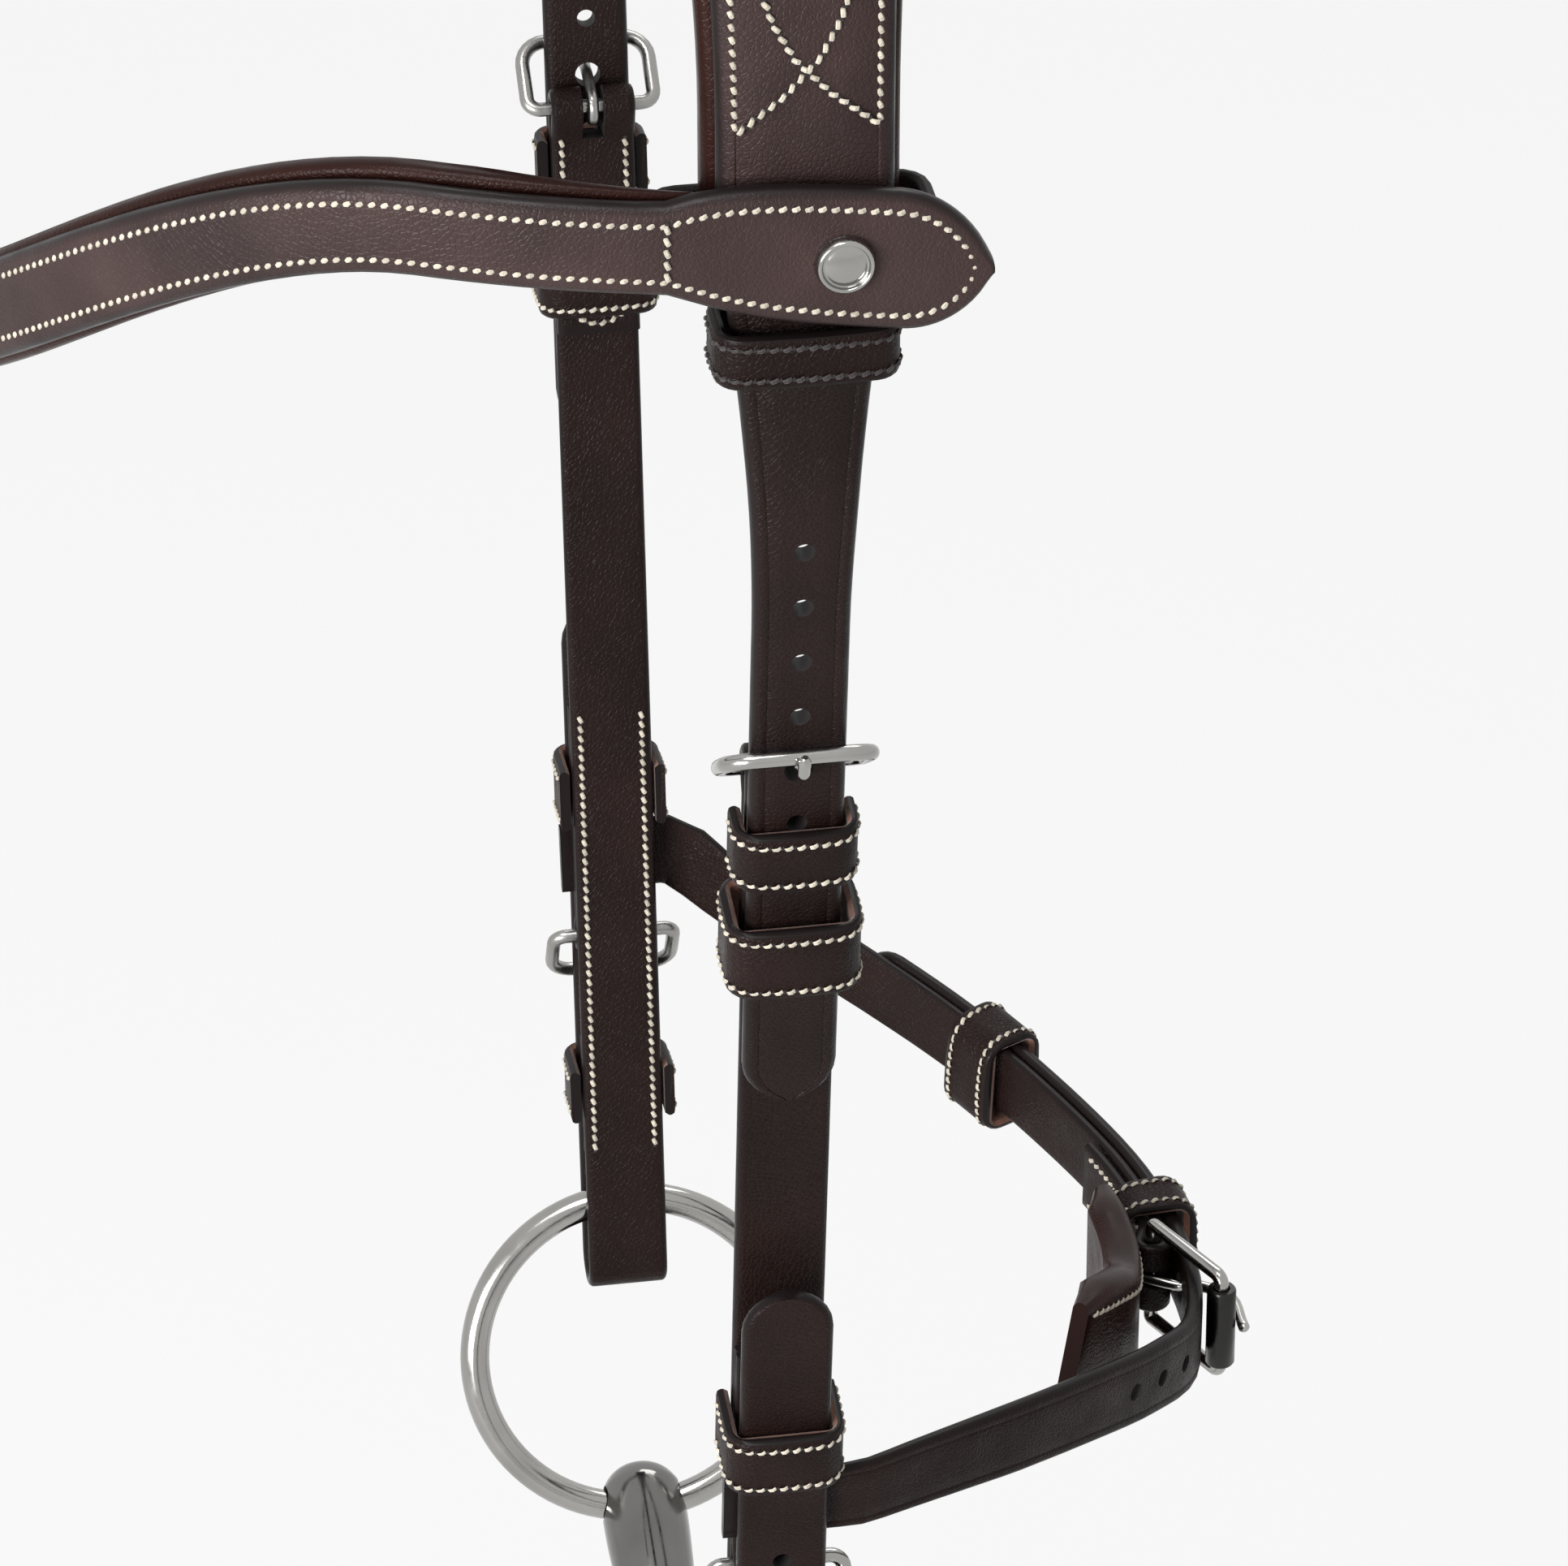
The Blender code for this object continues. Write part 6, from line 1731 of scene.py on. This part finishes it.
def jaw_strap_near():
    """Near strap: a billet with holes and a rounded tip."""
    outer = HALF_GAP + JAW_BILLET_THICK / 2
    begin = JAW_TOTAL - JAW_TAB_BACK
    rows = [(JAW_TOTAL - w, 0, JAW_WIDTH, JAW_TAB_THICK) for w in JAW_TAB_PLACES]
    for w in spread(begin - FINE_STEP, JAW_BILLET_TIP + JAW_WIDTH / 2, FINE_STEP)[:-1]:
        share = min(1.0, (begin - w) / BLEND_STRETCH)
        rows.append((w, outer * share, JAW_WIDTH, mixed(JAW_TAB_THICK, JAW_BILLET_THICK, share)))
    rows += [(w, outer, width, JAW_BILLET_THICK)
             for w, width in tip_run(JAW_BILLET_TIP, JAW_WIDTH, -1)]
    item = jaw_leather("jaw_strap_near_leather", rows, -1)
    drills = []
    for k in range(-1, JAW_HOLES_AHEAD + 1):
        place, _, down, outward = jaw_frame(JAW_PRONG_AT + k * JAW_HOLE_PITCH)
        drills.append(peg(place - outward * GAP, place + outward * 2 * JAW_BILLET_THICK,
                          PRONG_HOLE_RADIUS + PRONG_HOLE_EASE if k == 0 else HOLE_RADIUS, down))
    carve(item, drills, finishes()["hole"])
    fit(item, "jaw_strap_body", "jaw_strap_near")


def jaw_roller_buckle():
    """Frame, dark roller on its front bar, and prong."""
    looks = finishes()
    place, along, down, outward = jaw_frame(JAW_HEEL)
    origin = place + outward * JAW_HEEL_IN
    reach = (along * math.cos(JAW_TILT) + outward * math.sin(JAW_TILT)).normalized()
    buckle_frame("jaw_buckle_frame", origin, reach, down, JAW_FRAME_LENGTH, JAW_FRAME_WIDTH,
                 JAW_FRAME_CORNER, "jaw_buckle_body", "jaw_buckle", looks["steel"])
    middle = origin + reach * JAW_FRAME_LENGTH
    half = ROLLER_LENGTH / 2
    bore = WIRE_RADIUS + ROLLER_FIT
    profile = [(-half, bore)]
    profile += [(half * share, ROLLER_RADIUS * out) for share, out in ROLLER_SHAPE]
    profile += [(half, bore)]
    rings = [[middle + down * a + along * x + outward * y for x, y in circle(ROLLER_STEPS, radius)]
             for a, radius in profile]
    item = make("jaw_roller_tube", *skin(rings, True), [looks["dark_steel"]])
    fit(item, "jaw_roller_body", "jaw_roller")
    rest = JAW_FRAME_LENGTH * math.sin(JAW_TILT) + ROLLER_RADIUS + BAR_FIT + PRONG_RADIUS
    front = JAW_FRAME_LENGTH * math.cos(JAW_TILT)
    hole = JAW_PRONG_AT - JAW_HEEL

    def to_world(a, n):
        return origin + along * a + outward * n

    path = prong_rise(hole, HALF_GAP + JAW_BILLET_THICK - JAW_HEEL_IN)
    path += [(mixed(hole, front, JAW_OVER_SHARE), rest), (front, rest), (front + PRONG_PAST, rest)]
    buckle_prong("jaw_prong_wire", path, down, to_world, "jaw_prong_body", "jaw_prong",
                 looks["steel"])


def jaw_keepers():
    """Fixed keeper beside the buckle; running keeper hanging on the strap's upper edge."""
    half = JAW_WIDTH / 2
    high = HALF_GAP + JAW_BILLET_THICK

    def hung(w, q, n):
        return jaw_point(w, q + RUNNER_FIT - GAP, n)

    loop("jaw_keeper", "jaw_strap_body", jaw_point, JAW_KEEPER_AT, JAW_KEEPER_DEPTH,
         half + 2 * KEEPER_FIT, JAW_STACK_INNER - 2 * KEEPER_FIT, high + 2 * KEEPER_FIT,
         KEEPER_THICK)
    loop("jaw_runner", "jaw_runner_body", hung, JAW_RUNNER_AT, JAW_RUNNER_DEPTH, half + RUNNER_FIT,
         -HALF_GAP - JAW_THICK - RUNNER_FIT, high + RUNNER_FIT, KEEPER_THICK)


def jaw_safe_pad():
    """Padded flap behind the jaw buckle, sewn round its edge."""
    looks = finishes()
    top = JAW_STACK_INNER - 2 * KEEPER_FIT - KEEPER_THICK - GAP
    start = JAW_HEEL - SAFE_BACK
    end = JAW_HEEL + SAFE_PAST
    places = spread(start, end, FINE_STEP)
    stations = []
    sections = []
    for k, w in enumerate(places):
        place, _, down, outward = jaw_frame(w)
        ease = end_ease(k, len(places) - 1, *PAD_EASE)
        stations.append((place, down, outward))
        sections.append(pad_section(SAFE_FACE * mixed(SAFE_END_SHARE, 1, ease),
                                    top - SAFE_PUFF * ease, top))
    item = strap("jaw_safe_padding", stations, sections, looks["padding"])
    fit(item, "jaw_strap_body", "jaw_safe")
    reach = SAFE_FACE / 2 - 2 * SEAM_INSET
    rows = [jaw_seam(start + SEAM_INSET, end - SEAM_INSET, q, top, 1) for q in (-reach, reach)]
    sew("jaw_safe_stitching", rows, "jaw_strap_body", looks["thread"])


# Studio

def seen_directly(nodes, links):
    """1 where the camera, a reflection or a see-through surface looks at it, else 0."""
    path = nodes.new("ShaderNodeLightPath")
    seen = add(nodes, links, "MAXIMUM", path.outputs["Is Camera Ray"],
               path.outputs["Is Glossy Ray"])
    return add(nodes, links, "MAXIMUM", seen, path.outputs["Is Transmission Ray"])


def studio_floor(colour):
    """Pale floor that looks as bright as the air behind it."""
    half = FLOOR_SIZE / 2
    mesh = bpy.data.meshes.new("floor")
    mesh.from_pydata([(-half, -half, FLOOR_Z), (half, -half, FLOOR_Z), (half, half, FLOOR_Z),
                      (-half, half, FLOOR_Z)], [], [(0, 1, 2, 3)])
    floor = bpy.data.objects.new("floor", mesh)
    bpy.context.scene.collection.objects.link(floor)
    look, nodes, links, shader = shade("pale_floor", colour, FLOOR_ROUGHNESS)
    glow = nodes.new("ShaderNodeEmission")
    glow.inputs["Color"].default_value = (*colour, 1.0)
    mix = nodes.new("ShaderNodeMixShader")
    seen = seen_directly(nodes, links)
    links.new(add(nodes, links, "MULTIPLY", seen, FLOOR_GLOW_SHARE), mix.inputs[0])
    links.new(shader.outputs[0], mix.inputs[1])
    links.new(glow.outputs[0], mix.inputs[2])
    links.new(mix.outputs[0], nodes["Material Output"].inputs["Surface"])
    mesh.materials.append(look)
    return floor


def studio_air(colour, strength):
    """Even light from all sides, bright where it is looked at."""
    world = bpy.data.worlds.new("studio_air")
    bpy.context.scene.world = world
    world.use_nodes = True
    nodes, links = world.node_tree.nodes, world.node_tree.links
    air = nodes["Background"]
    air.inputs["Color"].default_value = (*colour, 1.0)
    links.new(ramp(nodes, links, seen_directly(nodes, links), 0.0, 1.0, strength, 1.0),
              air.inputs["Strength"])


def studio_lamps(power):
    """Broad soft lamps, each aimed at the bridle."""
    lamps = []
    for name, place, aim, size, share in STUDIO_LAMPS:
        data = bpy.data.lights.new(name, "AREA")
        data.shape = "RECTANGLE"
        data.size = size
        data.size_y = size * LAMP_SHAPE_SHARE
        data.energy = share * power
        lamp = bpy.data.objects.new(name, data)
        lamp.location = place
        lamp.rotation_euler = (Vector(aim) - Vector(place)).to_track_quat("-Z", "Y").to_euler()
        bpy.context.scene.collection.objects.link(lamp)
        lamps.append(lamp)
    return lamps


def studio_camera():
    """The camera at the photograph's angle."""
    data = bpy.data.cameras.new("camera")
    data.sensor_width = SENSOR_WIDTH
    data.lens = CAMERA_LENS_MM
    data.clip_start = CAMERA_CLIP_START
    camera = bpy.data.objects.new("camera", data)
    turn = math.radians(CAMERA_AZIMUTH)
    rise = math.radians(CAMERA_ELEVATION)
    camera.location = CAMERA_PLACE
    back = Vector((math.sin(turn) * math.cos(rise), -math.cos(turn) * math.cos(rise),
                   math.sin(rise)))
    camera.rotation_euler = back.to_track_quat("Z", "Y").to_euler()
    bpy.context.scene.collection.objects.link(camera)
    bpy.context.scene.camera = camera
    return camera


def studio():
    """Pale floor and air, soft lamps, and the camera."""
    settings = bpy.context.scene.bridle_studio
    bpy.context.scene.view_settings.view_transform = "Standard"
    floor = studio_floor(tuple(settings.floor_colour))
    studio_air(tuple(settings.floor_colour), settings.room_light)
    lamps = studio_lamps(settings.lamp_light)
    camera = studio_camera()


# Sidebar settings and operators

class BridleLooks(bpy.types.PropertyGroup):
    """Colours and thread sizes of the bridle."""

    leather_colour: FloatVectorProperty(
        name="Leather", description="Dye of the straps", subtype="COLOR", size=3, min=0, max=1,
        default=(0.0125, 0.0060, 0.0050))
    edge_colour: FloatVectorProperty(
        name="Edges", description="Paint on the cut edges", subtype="COLOR", size=3, min=0, max=1,
        default=(0.010, 0.007, 0.007))
    padding_colour: FloatVectorProperty(
        name="Padding", description="Soft leather over the padding", subtype="COLOR", size=3,
        min=0, max=1, default=(0.0240, 0.0080, 0.0060))
    lining_colour: FloatVectorProperty(
        name="Lining", description="Raw leather inside the keepers", subtype="COLOR", size=3,
        min=0, max=1, default=(0.190, 0.070, 0.036))
    thread_colour: FloatVectorProperty(
        name="Thread", description="Waxed thread of the seams", subtype="COLOR", size=3,
        min=0, max=1, default=(0.52, 0.47, 0.38))
    steel_colour: FloatVectorProperty(
        name="Steel", description="Buckles, studs and bit", subtype="COLOR", size=3, min=0, max=1,
        default=(0.38, 0.375, 0.36))
    stitch_pitch: FloatProperty(
        name="Stitch pitch", description="From one stitch to the next", unit="LENGTH", min=0.001,
        max=0.006, default=0.0018)
    thread_thickness: FloatProperty(
        name="Thread thickness", description="Thickness of the thread", unit="LENGTH", min=0.0002,
        max=0.002, default=0.00078)


class StudioLooks(bpy.types.PropertyGroup):
    """Light and floor of the studio."""

    floor_colour: FloatVectorProperty(
        name="Floor", description="Colour of floor and air", subtype="COLOR", size=3, min=0, max=1,
        default=(0.93, 0.93, 0.93))
    room_light: FloatProperty(
        name="Room light", description="Strength of the even light from all sides", min=0, max=4,
        default=0.30)
    lamp_light: FloatProperty(
        name="Lamp power", description="Power of the key lamp", unit="POWER", min=0, max=500,
        default=34.0)


class HeadpieceOperator(bpy.types.Operator):
    """Headpiece with its pad, its loops and the fancy stitching."""

    bl_idname = "bridle.headpiece"
    bl_label = "Headpiece"

    def execute(self, context):
        headpiece_strap()
        headpiece_padding()
        headpiece_loops()
        return {"FINISHED"}


class BrowbandOperator(bpy.types.Operator):
    """Browband with its pad, inner layers and studs."""

    bl_idname = "bridle.browband"
    bl_label = "Browband"

    def execute(self, context):
        browband_strap()
        browband_padding()
        browband_sleeves()
        browband_studs()
        return {"FINISHED"}


class CheekpieceOperator(bpy.types.Operator):
    """Both cheekpieces with the chapes and tabs sewn to them."""

    bl_idname = "bridle.cheekpieces"
    bl_label = "Cheekpieces"

    def execute(self, context):
        cheek_straps()
        bit_chapes()
        return {"FINISHED"}


class CheekBuckleOperator(bpy.types.Operator):
    """Upper and lower buckles of both cheekpieces."""

    bl_idname = "bridle.cheek_buckles"
    bl_label = "Cheek buckles"

    def execute(self, context):
        cheek_buckles()
        return {"FINISHED"}


class KeeperOperator(bpy.types.Operator):
    """Fixed and running keepers of the cheekpieces."""

    bl_idname = "bridle.keepers"
    bl_label = "Keepers"

    def execute(self, context):
        cheek_keepers()
        return {"FINISHED"}


class BitOperator(bpy.types.Operator):
    """Loose-ring bit with a jointed mouthpiece."""

    bl_idname = "bridle.bit"
    bl_label = "Bit"

    def execute(self, context):
        loose_ring_bit()
        return {"FINISHED"}


class JawStrapOperator(bpy.types.Operator):
    """Strap behind the jaw, with its roller buckle, keepers and padded safe."""

    bl_idname = "bridle.jaw_strap"
    bl_label = "Jaw strap"

    def execute(self, context):
        jaw_strap_far()
        jaw_strap_near()
        jaw_roller_buckle()
        jaw_keepers()
        jaw_safe_pad()
        return {"FINISHED"}


class StudioOperator(bpy.types.Operator):
    """Floor, lamps and camera."""

    bl_idname = "bridle.studio"
    bl_label = "Studio"

    def execute(self, context):
        studio()
        return {"FINISHED"}


class BridlePanel(bpy.types.Panel):
    """Colours, thread and light, with a button for each group of pieces."""

    bl_idname = "VIEW3D_PT_bridle"
    bl_label = "Horse bridle"
    bl_space_type = "VIEW_3D"
    bl_region_type = "UI"
    bl_category = "Bridle"

    def draw(self, context):
        for settings in (context.scene.bridle_looks, context.scene.bridle_studio):
            for name in settings.__annotations__:
                self.layout.prop(settings, name)
        for maker in MAKERS:
            self.layout.operator(maker.bl_idname)


MAKERS = (HeadpieceOperator, BrowbandOperator, CheekpieceOperator, CheekBuckleOperator,
          KeeperOperator, BitOperator, JawStrapOperator, StudioOperator)
CLASSES = (BridleLooks, StudioLooks) + MAKERS + (BridlePanel,)


def register():
    for known in CLASSES:
        bpy.utils.register_class(known)
    bpy.types.Scene.bridle_looks = PointerProperty(type=BridleLooks)
    bpy.types.Scene.bridle_studio = PointerProperty(type=StudioLooks)


def unregister():
    del bpy.types.Scene.bridle_looks
    del bpy.types.Scene.bridle_studio
    for known in reversed(CLASSES):
        bpy.utils.unregister_class(known)


def main():
    register()
    bpy.ops.bridle.headpiece()
    bpy.ops.bridle.browband()
    bpy.ops.bridle.cheekpieces()
    bpy.ops.bridle.cheek_buckles()
    bpy.ops.bridle.keepers()
    bpy.ops.bridle.bit()
    bpy.ops.bridle.jaw_strap()
    bpy.ops.bridle.studio()


if __name__ == "__main__":
    main()
